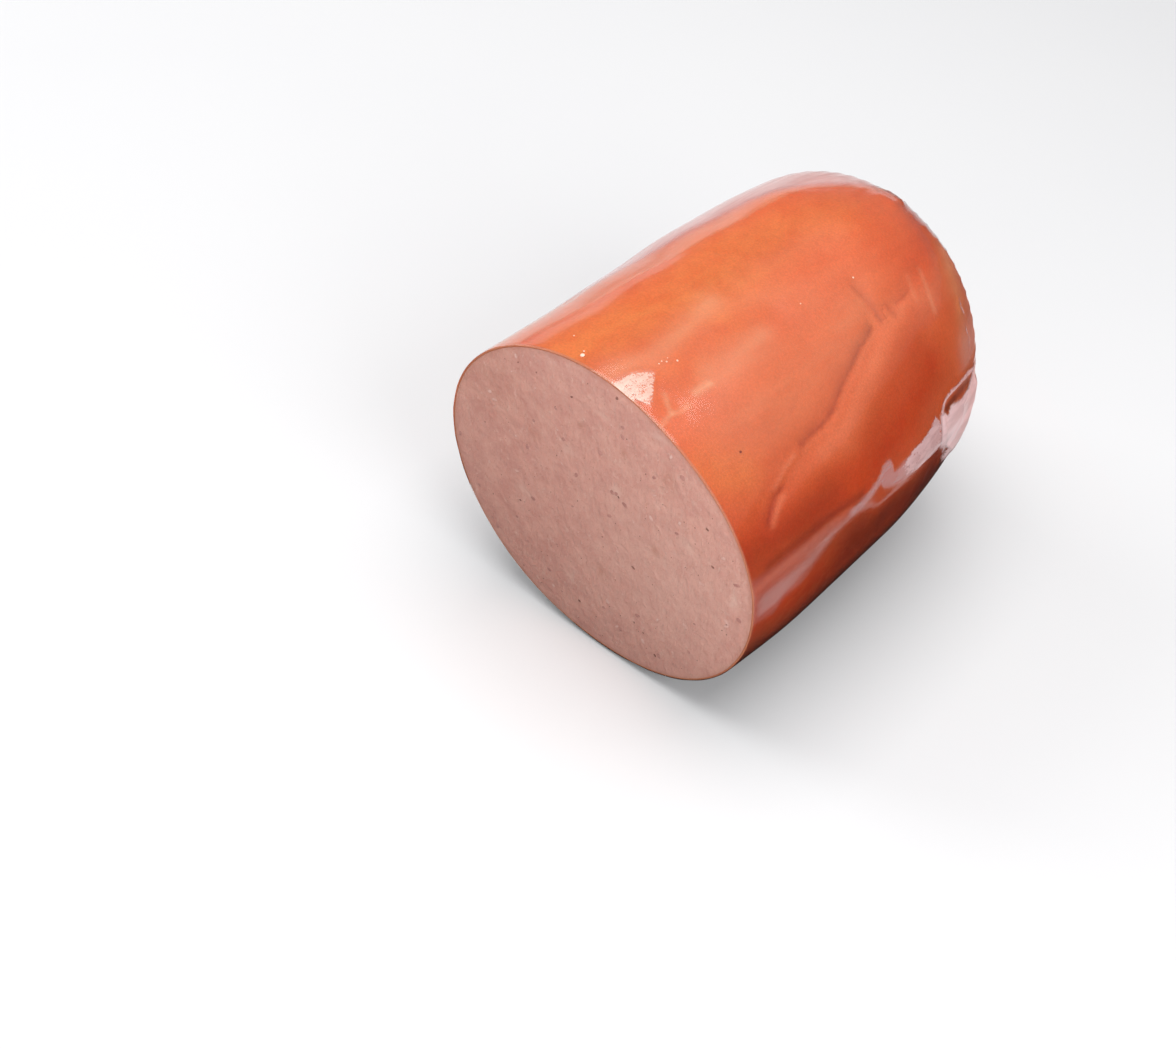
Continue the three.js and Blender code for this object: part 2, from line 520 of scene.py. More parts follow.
class MeshDraft:
    """Gathers points and faces for one closed mesh, and named numbers for its points."""

    def __init__(self) -> None:
        """Starts empty."""
        self.points: list[np.ndarray] = []
        self.faces: list[tuple[int, ...]] = []
        self.values: dict[str, list[np.ndarray]] = {}
        self.count = 0

    def add_points(self, points: np.ndarray, **values: np.ndarray | float) -> np.ndarray:
        """Adds points.

        Args:
            points: The points, in millimetres, in an array of any shape that ends in 3.
            **values: Named numbers for them.

        Returns:
            The new points' numbers, in the same shape.
        """
        flat = points.reshape(-1, 3)
        for name, value in values.items():
            filled = np.broadcast_to(value, points.shape[:-1]).reshape(-1)
            self.values.setdefault(name, []).append(filled)
        self.points.append(flat)
        numbers = np.arange(self.count, self.count + len(flat)).reshape(points.shape[:-1])
        self.count += len(flat)
        return numbers

    def add_quads(self, *corners: np.ndarray) -> None:
        """Adds four-sided faces, from the numbers of their first, second, third and fourth points."""
        quads = np.stack(corners, axis=-1).reshape(-1, 4)
        self.faces.extend(map(tuple, quads.tolist()))

    def join_rings(self, numbers: np.ndarray) -> None:
        """Joins closed rings of points, each to the next, from a row of point numbers for each."""
        turned = np.roll(numbers, -1, axis=1)
        self.add_quads(numbers[:-1], turned[:-1], turned[1:], numbers[1:])

    def close_ring(self, ring: np.ndarray, tip: int) -> None:
        """Closes a ring of points to one point."""
        turned = np.roll(ring, -1)
        self.faces.extend((int(a), int(b), tip) for a, b in zip(ring, turned))

    def build(self, name: str) -> bpy.types.Object:
        """Makes the object.

        Args:
            name: Its name.

        Returns:
            A new object at the origin whose mesh is in metres and faces outwards.
        """
        points = np.concatenate(self.points) * MM
        mesh = bpy.data.meshes.new(name)
        mesh.from_pydata(points.tolist(), [], self.faces)
        for key, parts in self.values.items():
            attribute = mesh.attributes.new(key, "FLOAT", "POINT")
            attribute.data.foreach_set("value", np.concatenate(parts).astype(np.float32))
        if signed_volume(mesh) < 0:
            mesh.flip_normals()
        mesh.shade_smooth()
        mesh.set_sharp_from_angle(angle=math.radians(SHARP_DEGREES))
        return in_scene(name, mesh)


def signed_volume(mesh: bpy.types.Mesh) -> float:
    """Gives a closed mesh's volume, which is negative where its faces point inwards.

    Args:
        mesh: The mesh.

    Returns:
        The volume in cubic metres.
    """
    mesh.calc_loop_triangles()
    corners = np.zeros(len(mesh.loop_triangles) * 3, np.int32)
    mesh.loop_triangles.foreach_get("vertices", corners)
    places = np.zeros(len(mesh.vertices) * 3)
    mesh.vertices.foreach_get("co", places)
    a, b, c = places.reshape(-1, 3)[corners.reshape(-1, 3)].transpose(1, 0, 2)
    return float((a * np.cross(b, c)).sum() / 6)


class NodeSheet:
    """Adds nodes to a tree and joins them."""

    def __init__(self, tree: bpy.types.NodeTree) -> None:
        """Keeps the tree."""
        self.tree = tree

    def add(
        self,
        kind: str,
        inputs: dict[str | int, object] | None = None,
        **settings: object,
    ) -> bpy.types.Node:
        """Adds one node.

        Args:
            kind: Blender's name for the node.
            inputs: Values or sockets for its inputs, by name or number.
            **settings: Its own properties.

        Returns:
            The node.
        """
        node = self.tree.nodes.new(kind)
        for key, value in settings.items():
            setattr(node, key, value)
        for key, value in (inputs or {}).items():
            self.feed(node.inputs[key], value)
        return node

    def feed(self, socket: bpy.types.NodeSocket, value: object) -> None:
        """Sets an input, or joins a socket to it.

        Args:
            socket: The input.
            value: A socket, a number, or a colour or vector of 3 or 4 numbers.
        """
        if isinstance(value, bpy.types.NodeSocket):
            self.tree.links.new(value, socket)
        elif socket.type == "RGBA" and len(value) == 3:
            socket.default_value = (*value, 1.0)
        else:
            socket.default_value = value

    def maths(self, operation: str, first: object, second: object = 0.0) -> bpy.types.NodeSocket:
        """Does one sum on two numbers or sockets, and gives the result's socket."""
        return self.add("ShaderNodeMath", {0: first, 1: second}, operation=operation).outputs[0]

    def graded(
        self,
        value: bpy.types.NodeSocket,
        low: float,
        high: float,
        to_low: float = 0.0,
        to_high: float = 1.0,
    ) -> bpy.types.NodeSocket:
        """Takes a number smoothly from the range low to high to another range, and never past its ends."""
        sockets = {0: value, 1: low, 2: high, 3: to_low, 4: to_high}
        return self.add("ShaderNodeMapRange", sockets, interpolation_type="SMOOTHSTEP").outputs[0]


@dataclass(frozen=True)
class Pattern:
    """A cloudy pattern: what its clouds are like, and how its values from low to high are graded."""

    size: float
    detail: float = 3.0
    roughness: float = 0.5
    stretch: Triple = (1.0, 1.0, 1.0)
    offset: Triple = (0.0, 0.0, 0.0)
    low: float = 0.0
    high: float = 1.0
    to_low: float = 0.0
    to_high: float = 1.0


class Paint(NodeSheet):
    """Builds one material."""

    def __init__(self, name: str) -> None:
        """Starts a material with an output and Object coordinates.

        Args:
            name: The material's name.
        """
        self.material = bpy.data.materials.new(name)
        self.material.use_nodes = True
        super().__init__(self.material.node_tree)
        self.tree.nodes.clear()
        self.output = self.add("ShaderNodeOutputMaterial")
        self.place = self.add("ShaderNodeTexCoord").outputs["Object"]

    def noise(self, pattern: Pattern) -> bpy.types.NodeSocket:
        """Adds a cloudy pattern, not graded.

        Args:
            pattern: The pattern.

        Returns:
            A socket that runs from 0 to 1, mostly near the middle.
        """
        scale = tuple(1.0 / part for part in pattern.stretch)
        inputs = {"Vector": self.place, "Scale": scale, "Location": pattern.offset}
        mapping = self.add("ShaderNodeMapping", inputs)
        inputs = {
            "Vector": mapping.outputs[0],
            "Scale": 1.0 / (pattern.size * MM),
            "Detail": pattern.detail,
            "Roughness": pattern.roughness,
        }
        return self.add("ShaderNodeTexNoise", inputs).outputs["Fac"]

    def clouds(self, pattern: Pattern) -> bpy.types.NodeSocket:
        """Adds a cloudy pattern, graded as it says."""
        values = (pattern.low, pattern.high, pattern.to_low, pattern.to_high)
        return self.graded(self.noise(pattern), *values)

    def grains(self, size: float) -> bpy.types.NodeSocket:
        """Adds rounded grains, as the distance from the nearest one's middle, 0 to about 1."""
        inputs = {"Vector": self.place, "Scale": 1.0 / (size * MM)}
        return self.add("ShaderNodeTexVoronoi", inputs, feature="SMOOTH_F1").outputs["Distance"]

    def attribute(self, name: str) -> bpy.types.NodeSocket:
        """Reads a number that the piece's points carry."""
        return self.add("ShaderNodeAttribute", attribute_name=name).outputs["Fac"]

    def falling(self, value: bpy.types.NodeSocket, least: float) -> bpy.types.NodeSocket:
        """Gives 1 where a number is 0, and the least share where it is 1."""
        return self.graded(value, 0.0, 1.0, 1.0, least)

    def tinted(
        self,
        first: object,
        second: object,
        *shares: object,
        mode: str = "MIX",
    ) -> bpy.types.NodeSocket:
        """Blends a colour towards another.

        Args:
            first: The first colour or its socket.
            second: The second colour or its socket.
            *shares: Numbers or sockets whose product is the share of the second.
            mode: How they blend.

        Returns:
            The colour's socket.
        """
        share = shares[0]
        for factor in shares[1:]:
            share = self.maths("MULTIPLY", share, factor)
        inputs = {0: share, 6: first, 7: second}
        return self.add("ShaderNodeMix", inputs, data_type="RGBA", blend_type=mode).outputs[2]

    def bump(self, height: object, depth: float, before: object = None) -> bpy.types.NodeSocket:
        """Raises a fine relief.

        Args:
            height: The relief's socket, 0 to 1.
            depth: How high 1 stands.
            before: A coarser relief's normal to add it to.

        Returns:
            The normal's socket.
        """
        inputs = {"Height": height, "Distance": depth * MM, "Strength": 1.0}
        if before is not None:
            inputs["Normal"] = before
        return self.add("ShaderNodeBump", inputs).outputs[0]

    def solid(self, inputs: dict[str, object]) -> bpy.types.NodeSocket:
        """Adds a solid surface with these inputs."""
        return self.add("ShaderNodeBsdfPrincipled", inputs).outputs[0]

    def finish(self, shader: bpy.types.NodeSocket) -> bpy.types.Material:
        """Joins the shader to the output and gives the material."""
        self.feed(self.output.inputs["Surface"], shader)
        return self.material


@dataclass(frozen=True)
class SkinFinish:
    """Smoked skin: orange, clearer on top, deep red and painted shade low down, painted shade and sheen at
    its creases, satin.
    """

    orange: Colour = linear(222, 109, 56)
    amber: Colour = linear(226, 132, 62)
    russet: Colour = linear(212, 94, 50)
    deep: Colour = linear(208, 72, 16)
    # Painted shade colour: the dark red that the skin turns towards the table.
    low: Colour = linear(132, 45, 24)
    # Painted shade colour for the crease lines and the shade above them.
    painted_crease_shade: Colour = linear(172, 54, 26)
    # Painted highlight colour: the pale sheen beside the creases, on their ridges and near the cut.
    pale: Colour = linear(232, 136, 92)
    rim: Colour = linear(196, 122, 90)
    smoke: Pattern = Pattern(30.0, 4.0, 0.6, (1.0, 1.5, 1.0), low=0.38, high=0.64)
    mottle: Pattern = Pattern(6.0, 4.0, 0.62, (1.0, 1.3, 1.0), (0.3, 0.1, 0.7), 0.38, 0.64)
    streaks: Pattern = Pattern(4.0, 3.0, 0.6, (1.0, 6.0, 1.0), (0.1, 0.5, 0.2), 0.42, 0.68)
    fine: Pattern = Pattern(
        0.7, 3.0, 0.75, offset=(0.9, 0.4, 0.2), low=0.3, high=0.7, to_low=0.88, to_high=1.08
    )
    wobble: Pattern = Pattern(3.0, 3.0, 0.6, offset=(0.4, 0.4, 0.1))
    crease_shade_breaks: Pattern = Pattern(5.0, 3.0, 0.6, offset=(0.7, 0.2, 0.5), low=0.34, high=0.6, to_low=0.4)
    dimples: Pattern = Pattern(3.2)
    grain: Pattern = Pattern(0.8, 2.0)
    smoke_share: float = 0.5
    mottle_share: float = 0.2
    streak_share: float = 0.1
    low_shade_share: float = 0.9
    shade_share: float = 0.42
    ridge_highlight_share: float = 0.36
    line_share: float = 0.6
    uneven_amber: float = 0.72
    uneven_deep: float = 0.78
    low_edge: float = 18.0
    high_edge: float = 76.0
    line_width: float = 1.5
    shade_width: float = 4.5
    shade_start: Range = (-0.6, 0.4)
    ridge_start: float = -2.0
    ridge_end: Range = (-2.2, -0.6)
    wobble_width: float = 1.6
    dimple_depth: float = 0.12
    grain_depth: float = 0.015
    roughness: float = 0.46
    roughness_swing: float = 0.06
    glow_depth: float = 2.5

    def material(self) -> bpy.types.Material:
        """Builds the material.

        Returns:
            The material, which reads the points' amber, deep, painted shade, painted sheen, crease, crease
            side and rim numbers.
        """
        paint = Paint("smoked skin")
        smoke, mottle = paint.clouds(self.smoke), paint.clouds(self.mottle)
        uneven = paint.falling(smoke, self.uneven_amber)
        colour = paint.tinted(self.orange, self.russet, smoke, self.smoke_share)
        colour = paint.tinted(colour, self.amber, paint.attribute("amber"), uneven)
        colour = paint.tinted(colour, self.russet, mottle, self.mottle_share)
        uneven_deep = paint.falling(mottle, self.uneven_deep)
        colour = paint.tinted(colour, self.deep, paint.attribute("deep"), uneven_deep)
        colour = paint.tinted(colour, self.deep, paint.clouds(self.streaks), self.streak_share)
        # Painted sheen: pale strokes beside the creases and near the cut, where light catches the skin.
        colour = paint.tinted(colour, self.pale, paint.attribute("salmon"), uneven)
        # Painted shade: towards the table, and along the painted shade strokes, the skin turns dark red.
        height = paint.add("ShaderNodeSeparateXYZ", {0: paint.place}).outputs["Z"]
        low = paint.graded(height, self.low_edge * MM, self.high_edge * MM, self.low_shade_share, 0.0)
        low = paint.maths("MAXIMUM", low, paint.attribute("dusk"))
        colour = self.creased(paint, paint.tinted(colour, self.low, low))
        fine = paint.clouds(self.fine)
        grey = paint.add("ShaderNodeCombineColor", {0: fine, 1: fine, 2: fine}).outputs[0]
        colour = paint.tinted(colour, grey, 1.0, mode="MULTIPLY")
        colour = paint.tinted(colour, self.rim, paint.attribute("rim"))
        duller, shinier = self.roughness + self.roughness_swing, self.roughness - self.roughness_swing
        normal = paint.bump(paint.noise(self.dimples), self.dimple_depth)
        inputs = {
            "Base Color": colour,
            "Roughness": paint.graded(mottle, 0.0, 1.0, duller, shinier),
            "Normal": paint.bump(paint.noise(self.grain), self.grain_depth, normal),
            "Specular IOR Level": 0.5,
            "Subsurface Weight": 0.12,
            "Subsurface Radius": (1.0, 0.35, 0.15),
            "Subsurface Scale": self.glow_depth * MM,
        }
        return paint.finish(paint.solid(inputs))

    def creased(self, paint: Paint, colour: bpy.types.NodeSocket) -> bpy.types.NodeSocket:
        """Paints light and shade at the creases: a thin line of painted shade, a soft painted shade above it
        and a painted highlight on the ridge below.

        Args:
            paint: The material.
            colour: The plain skin's colour.

        Returns:
            The colour with creases.
        """
        wobble = paint.maths("SUBTRACT", paint.noise(self.wobble), 0.5)
        wobble = paint.maths("MULTIPLY", wobble, self.wobble_width)
        off = paint.maths("ADD", paint.attribute("crease_side"), wobble)
        mark = paint.attribute("crease")
        line = paint.graded(paint.maths("ABSOLUTE", off), 0.0, self.line_width, 1.0, 0.0)
        above = paint.graded(off, self.shade_start[1], self.shade_width, 1.0, 0.0)
        above = paint.maths("MULTIPLY", paint.graded(off, *self.shade_start), above)
        below = paint.graded(off, -self.shade_width, self.ridge_start)
        below = paint.maths("MULTIPLY", below, paint.graded(off, *self.ridge_end, 1.0, 0.0))
        # Painted shade above each crease and along its line, broken up by a cloudy pattern, and a painted
        # highlight on the ridge below.
        colour = paint.tinted(colour, self.painted_crease_shade, above, mark, self.shade_share)
        colour = paint.tinted(colour, self.pale, below, mark, self.ridge_highlight_share)
        return paint.tinted(colour, self.painted_crease_shade, line, mark, paint.clouds(self.crease_shade_breaks), self.line_share)


@dataclass(frozen=True)
class MeatFinish:
    """Moist, finely ground meat: greyish pink, clouded, with paler and darker grains."""

    pink: Colour = linear(226, 167, 151)
    pale: Colour = linear(232, 188, 172)
    grey: Colour = linear(214, 152, 138)
    tan: Colour = linear(190, 126, 104)
    mixing: Pattern = Pattern(8.0, 4.0, 0.6, low=0.36, high=0.66)
    smears: Pattern = Pattern(2.4, 4.0, 0.65, (1.0, 1.0, 1.8), (0.5, 0.2, 0.8), 0.36, 0.66)
    bits: Pattern = Pattern(1.3, 2.0, 0.5, (1.0, 1.0, 1.6), (0.1, 0.8, 0.4), 0.6, 0.74)
    dots: Pattern = Pattern(0.9, 2.0, offset=(0.6, 0.1, 0.9), low=0.62, high=0.74)
    grit: Pattern = Pattern(0.7, 2.0, 0.6)
    grain_size: float = 1.6
    grain_edge: Range = (0.1, 0.75)
    grain_share: float = 0.22
    smear_share: float = 0.22
    bit_share: float = 0.55
    dot_share: float = 0.4
    rim_start: float = 0.965
    rim_share: float = 0.3
    uneven_blotch: float = 0.55
    smear_depth: float = 0.12
    grit_depth: float = 0.05
    roughness: float = 0.42
    dry_roughness: float = 0.54
    glow_depth: float = 2.0

    def material(self) -> bpy.types.Material:
        """Builds the material.

        Returns:
            The material, which reads the points' rim, pale and dull numbers.
        """
        paint = Paint("cut meat")
        grains = paint.graded(paint.grains(self.grain_size), *self.grain_edge)
        smears = paint.clouds(self.smears)
        colour = paint.tinted(self.grey, self.pink, paint.clouds(self.mixing))
        colour = paint.tinted(colour, self.pale, grains, self.grain_share)
        colour = paint.tinted(colour, self.grey, smears, self.smear_share)
        colour = paint.tinted(colour, self.pale, paint.clouds(self.bits), self.bit_share)
        colour = paint.tinted(colour, self.tan, paint.clouds(self.dots), self.dot_share)
        broken = paint.falling(smears, self.uneven_blotch)
        # Paler and duller spots of the meat, with painted light on the cut's lower right and painted shade on
        # its upper left.
        colour = paint.tinted(colour, self.pale, paint.attribute("pale"), broken)
        colour = paint.tinted(colour, self.tan, paint.attribute("dull"), broken)
        rim = paint.graded(paint.attribute("rim"), self.rim_start, 1.0)
        colour = paint.tinted(colour, self.tan, rim, self.rim_share)
        normal = paint.bump(smears, self.smear_depth)
        inputs = {
            "Base Color": colour,
            "Roughness": paint.graded(smears, 0.0, 1.0, self.roughness, self.dry_roughness),
            "Normal": paint.bump(paint.noise(self.grit), self.grit_depth, normal),
            "Specular IOR Level": 0.4,
            "Subsurface Weight": 0.2,
            "Subsurface Radius": (1.0, 0.5, 0.4),
            "Subsurface Scale": self.glow_depth * MM,
        }
        return paint.finish(paint.solid(inputs))


@dataclass(frozen=True)
class FilmFinish:
    """Clear wrapping film: a sharp gloss where it lies tight, milky where it stands off the skin or carries
    painted sheen.
    """

    # Colours of the milky layer: cream is the painted highlight's, rosy the painted sheen's over the orange
    # skin.
    milky: Colour = linear(226, 189, 189)
    cream: Colour = linear(248, 212, 194)
    rosy: Colour = linear(249, 184, 140)
    waves: Pattern = Pattern(5.0, 2.0, 0.5, (1.0, 1.6, 1.0), (0.2, 0.6, 0.1))
    crinkles: Pattern = Pattern(1.3, 3.0, 0.55, (1.0, 2.0, 1.0), (0.4, 0.9, 0.3))
    ragged: Pattern = Pattern(2.2, 5.0, 0.7, (1.0, 2.6, 1.0), (0.7, 0.3, 0.5))
    gritty: Pattern = Pattern(0.55, 2.0, 0.6, offset=(0.2, 0.7, 0.4))
    thin_places: Pattern = Pattern(3.0, 3.0, 0.6, (1.0, 3.0, 1.0), low=0.35, high=0.65, to_low=0.76)
    cloudy: Pattern = Pattern(5.0, 3.0, 0.55, (1.0, 5.0, 1.0), (0.8, 0.2, 0.6), 0.34, 0.66, 0.84, 1.14)
    gritty_share: float = 0.8
    torn_middle: float = 0.9
    torn_reach: float = 1.3
    torn_rise: Range = (0.0, 0.3)
    haze_rise: Range = (0.3, 0.72)
    white_rise: Range = (0.1, 0.5)
    milky_share: float = 0.72
    wave_depth: float = 0.05
    crinkle_depth: float = 0.12
    ior: float = 1.45
    gloss_roughness: float = 0.13
    milky_roughness: float = 0.3

    def material(self) -> bpy.types.Material:
        """Builds the material.

        Returns:
            The material, which reads the points' haze, painted sheen, white and painted highlight numbers.
        """
        paint = Paint("clear film")
        slack = paint.attribute("haze")
        crinkles = paint.maths("MULTIPLY", paint.noise(self.crinkles), slack)
        normal = paint.bump(paint.noise(self.waves), self.wave_depth)
        normal = paint.bump(crinkles, self.crinkle_depth, normal)
        clear = paint.add("ShaderNodeBsdfTransparent", {"Color": (1.0, 1.0, 1.0, 1.0)})
        inputs = {"Color": (1.0, 1.0, 1.0, 1.0), "Roughness": self.gloss_roughness, "Normal": normal}
        gloss = paint.add("ShaderNodeBsdfGlossy", inputs)
        edge = paint.add("ShaderNodeFresnel", {"IOR": self.ior, "Normal": normal})
        inputs = {0: edge.outputs[0], 1: clear.outputs[0], 2: gloss.outputs[0]}
        tight = paint.add("ShaderNodeMixShader", inputs)
        # The milky layer's colour: cream under the painted highlight, rosy under painted sheen, milky where
        # it is white.
        milk_colour = paint.tinted(self.milky, self.cream, paint.attribute("warm"))
        white = paint.maths("MAXIMUM", paint.graded(slack, *self.white_rise), paint.attribute("white"))
        inputs = {
            "Base Color": paint.tinted(self.rosy, milk_colour, white),
            "Roughness": self.milky_roughness,
            "Normal": normal,
            "Specular IOR Level": 0.6,
        }
        inputs = {0: self.milkiness(paint, slack), 1: tight.outputs[0], 2: paint.solid(inputs)}
        return paint.finish(paint.add("ShaderNodeMixShader", inputs).outputs[0])

    def milkiness(self, paint: Paint, slack: bpy.types.NodeSocket) -> bpy.types.NodeSocket:
        """Grades how milky the film is: ragged where it is slack, and smooth where painted sheen lies on it.

        Args:
            paint: The material.
            slack: The points' haze.

        Returns:
            The milky share's socket.
        """
        gritty = paint.maths("MULTIPLY", paint.noise(self.gritty), self.gritty_share)
        both = paint.maths("ADD", paint.noise(self.ragged), gritty)
        torn = paint.maths("MULTIPLY", paint.maths("SUBTRACT", both, self.torn_middle), self.torn_reach)
        torn = paint.maths("MULTIPLY", torn, paint.graded(slack, *self.torn_rise))
        share = paint.maths("MULTIPLY", paint.clouds(self.thin_places), self.milky_share)
        haze = paint.graded(paint.maths("ADD", slack, torn), *self.haze_rise)
        haze = paint.maths("MULTIPLY", haze, share)
        # Painted sheen and reflections, smooth and a little clouded.
        veil = paint.maths("MULTIPLY", paint.attribute("veil"), paint.clouds(self.cloudy))
        return paint.maths("MAXIMUM", haze, veil)


@dataclass(frozen=True)
class PlainFinish:
    """A plain dull finish: two colours, a little clouded."""

    name: str
    colour: Colour
    other: Colour
    cloud_size: float = 40.0
    roughness: float = 0.5
    gloss: float = 0.5

    def material(self) -> bpy.types.Material:
        """Builds the material and gives it."""
        paint = Paint(self.name)
        colour = paint.tinted(self.colour, self.other, paint.noise(Pattern(self.cloud_size, 2.0)))
        inputs = {"Base Color": colour, "Roughness": self.roughness, "Specular IOR Level": self.gloss}
        return paint.finish(paint.solid(inputs))


class GeometryTree(NodeSheet):
    """Builds one Geometry Nodes tree with named inputs, runs it on an object and keeps the result."""

    def __init__(self, name: str) -> None:
        """Starts the tree with a geometry input and output.

        Args:
            name: The tree's name.
        """
        super().__init__(bpy.data.node_groups.new(name, "GeometryNodeTree"))
        sides = self.tree.interface
        sides.new_socket("Geometry", in_out="INPUT", socket_type="NodeSocketGeometry")
        sides.new_socket("Geometry", in_out="OUTPUT", socket_type="NodeSocketGeometry")
        self.values: dict[str, float | int] = {}
        self.start = self.add("NodeGroupInput")
        self.end = self.add("NodeGroupOutput")

    def size(self, name: str, value: float | int) -> bpy.types.NodeSocket:
        """Adds a named input.

        Args:
            name: Its name.
            value: What this object gives it. A whole number makes a whole-number input.

        Returns:
            The input's socket inside the tree.
        """
        kind = "NodeSocketInt" if isinstance(value, int) else "NodeSocketFloat"
        item = self.tree.interface.new_socket(name, in_out="INPUT", socket_type=kind)
        self.values[item.identifier] = value
        return next(socket for socket in self.start.outputs if socket.identifier == item.identifier)

    def carried(self, name: str) -> bpy.types.NodeSocket:
        """Reads a number that the points carry."""
        node = self.add("GeometryNodeInputNamedAttribute", {"Name": name}, data_type="FLOAT")
        return node.outputs["Attribute"]

    def vector_maths(self, operation: str, first: object, second: object) -> bpy.types.NodeSocket:
        """Does one sum on vectors, and gives the result's socket. To scale one, the second is a number."""
        inputs = {0: first, "Scale" if operation == "SCALE" else 1: second}
        return self.add("ShaderNodeVectorMath", inputs, operation=operation).outputs[0]

    def moved(self, geometry: bpy.types.NodeSocket, offset: bpy.types.NodeSocket) -> bpy.types.NodeSocket:
        """Moves each point by its own offset, and gives the geometry's socket."""
        return self.add("GeometryNodeSetPosition", {"Geometry": geometry, "Offset": offset}).outputs[0]

    def random(
        self,
        low: object,
        high: object,
        seed: bpy.types.NodeSocket,
        step: int = 0,
    ) -> bpy.types.NodeSocket:
        """Draws a number for each point.

        Args:
            low: The smallest.
            high: The largest.
            seed: The seed's socket.
            step: A whole number that sets this draw apart from others of the same seed.

        Returns:
            The number's socket.
        """
        apart = self.maths("ADD", seed, float(step))
        node = self.add("FunctionNodeRandomValue", data_type="FLOAT")
        named = {socket.name: socket for socket in node.inputs if socket.enabled}
        for name, value in (("Min", low), ("Max", high), ("Seed", apart)):
            self.feed(named[name], value)
        return next(socket for socket in node.outputs if socket.enabled)

    def close(self, geometry: bpy.types.NodeSocket, material: bpy.types.Material) -> None:
        """Ends the tree in Realize Instances and Set Material, which gives the whole piece its finish."""
        real = self.add("GeometryNodeRealizeInstances", {"Geometry": geometry})
        dressed = self.add("GeometryNodeSetMaterial", {"Geometry": real.outputs[0], "Material": material})
        self.feed(self.end.inputs[0], dressed.outputs[0])

    def run(self, thing: bpy.types.Object, name: str) -> bpy.types.Object:
        """Runs the tree on an object and makes a plain mesh of the result.

        Args:
            thing: The object, which is removed.
            name: The new object's name.

        Returns:
            The new object, with no modifier.
        """
        modifier = thing.modifiers.new("rule", "NODES")
        modifier.node_group = self.tree
        for identifier, value in self.values.items():
            modifier[identifier] = value
        bpy.context.view_layer.update()
        seen = thing.evaluated_get(bpy.context.evaluated_depsgraph_get())
        mesh = bpy.data.meshes.new_from_object(seen)
        mesh.name = name
        old_mesh = thing.data
        thing.modifiers.clear()
        bpy.data.objects.remove(thing)
        bpy.data.meshes.remove(old_mesh)
        return in_scene(name, mesh)


@dataclass(frozen=True)
class Lumps:
    """Soft lumps of one size."""

    name: str
    size: float
    height: float


@dataclass(frozen=True)
class Unevenness:
    """Small lumps in layers: on the skin, or in other sizes on the cut."""

    layers: tuple[Lumps, ...] = (Lumps("Lump", 24.0, 0.18), Lumps("Ripple", 6.0, 0.05))
    detail: float = 2.0
    seed: int = 7

    def raise_on(self, thing: bpy.types.Object, name: str, material: bpy.types.Material) -> bpy.types.Object:
        """Raises the lumps on an object, as far as each point's shown number lets them.

        Args:
            thing: The plain object, which is replaced.
            name: The new object's name.
            material: The finish of the whole piece.

        Returns:
            The finished piece.
        """
        tree = GeometryTree(f"{name} unevenness")
        seed = tree.size("Seed", self.seed)
        height = 0.0
        for lumps in self.layers:
            wide = tree.size(f"{lumps.name} Size", lumps.size * MM)
            high = tree.size(f"{lumps.name} Height", lumps.height * MM)
            inputs = {"W": seed, "Scale": tree.maths("DIVIDE", 1.0, wide), "Detail": self.detail}
            noise = tree.add("ShaderNodeTexNoise", inputs, noise_dimensions="4D").outputs["Fac"]
            part = tree.maths("MULTIPLY", tree.maths("SUBTRACT", noise, 0.5), high)
            height = tree.maths("ADD", height, part)
        height = tree.maths("MULTIPLY", height, tree.carried("shown"))
        normal = tree.add("GeometryNodeInputNormal").outputs[0]
        offset = tree.vector_maths("SCALE", normal, height)
        tree.close(tree.moved(tree.start.outputs[0], offset), material)
        return tree.run(thing, name)


def free_of_table(points: np.ndarray) -> np.ndarray:
    """Says which points are free to be uneven: 0 on the table, rising to 1 a little way up."""
    return smoothstep(points[..., 2], PRESSED_BELOW, FREE_ABOVE)


@dataclass(frozen=True)
class Blotch:
    """A soft blotch on the cut: how far right of and above its middle, its sizes and its strength."""

    across: float
    up: float
    width: float
    height: float
    mark: float

    def shown(self, points: np.ndarray, middle: np.ndarray) -> np.ndarray:
        """Says how strongly it shows at each point.

        Args:
            points: The points.
            middle: The cut's middle.

        Returns:
            Its mark in its middle, falling to 0 away from it as a bell does.
        """
        across = (points[..., 0] - middle[0] - self.across) / (self.width / 2)
        up = (points[..., 2] - middle[2] - self.up) / (self.height / 2)
        return self.mark * np.exp(-(across * across + up * up))


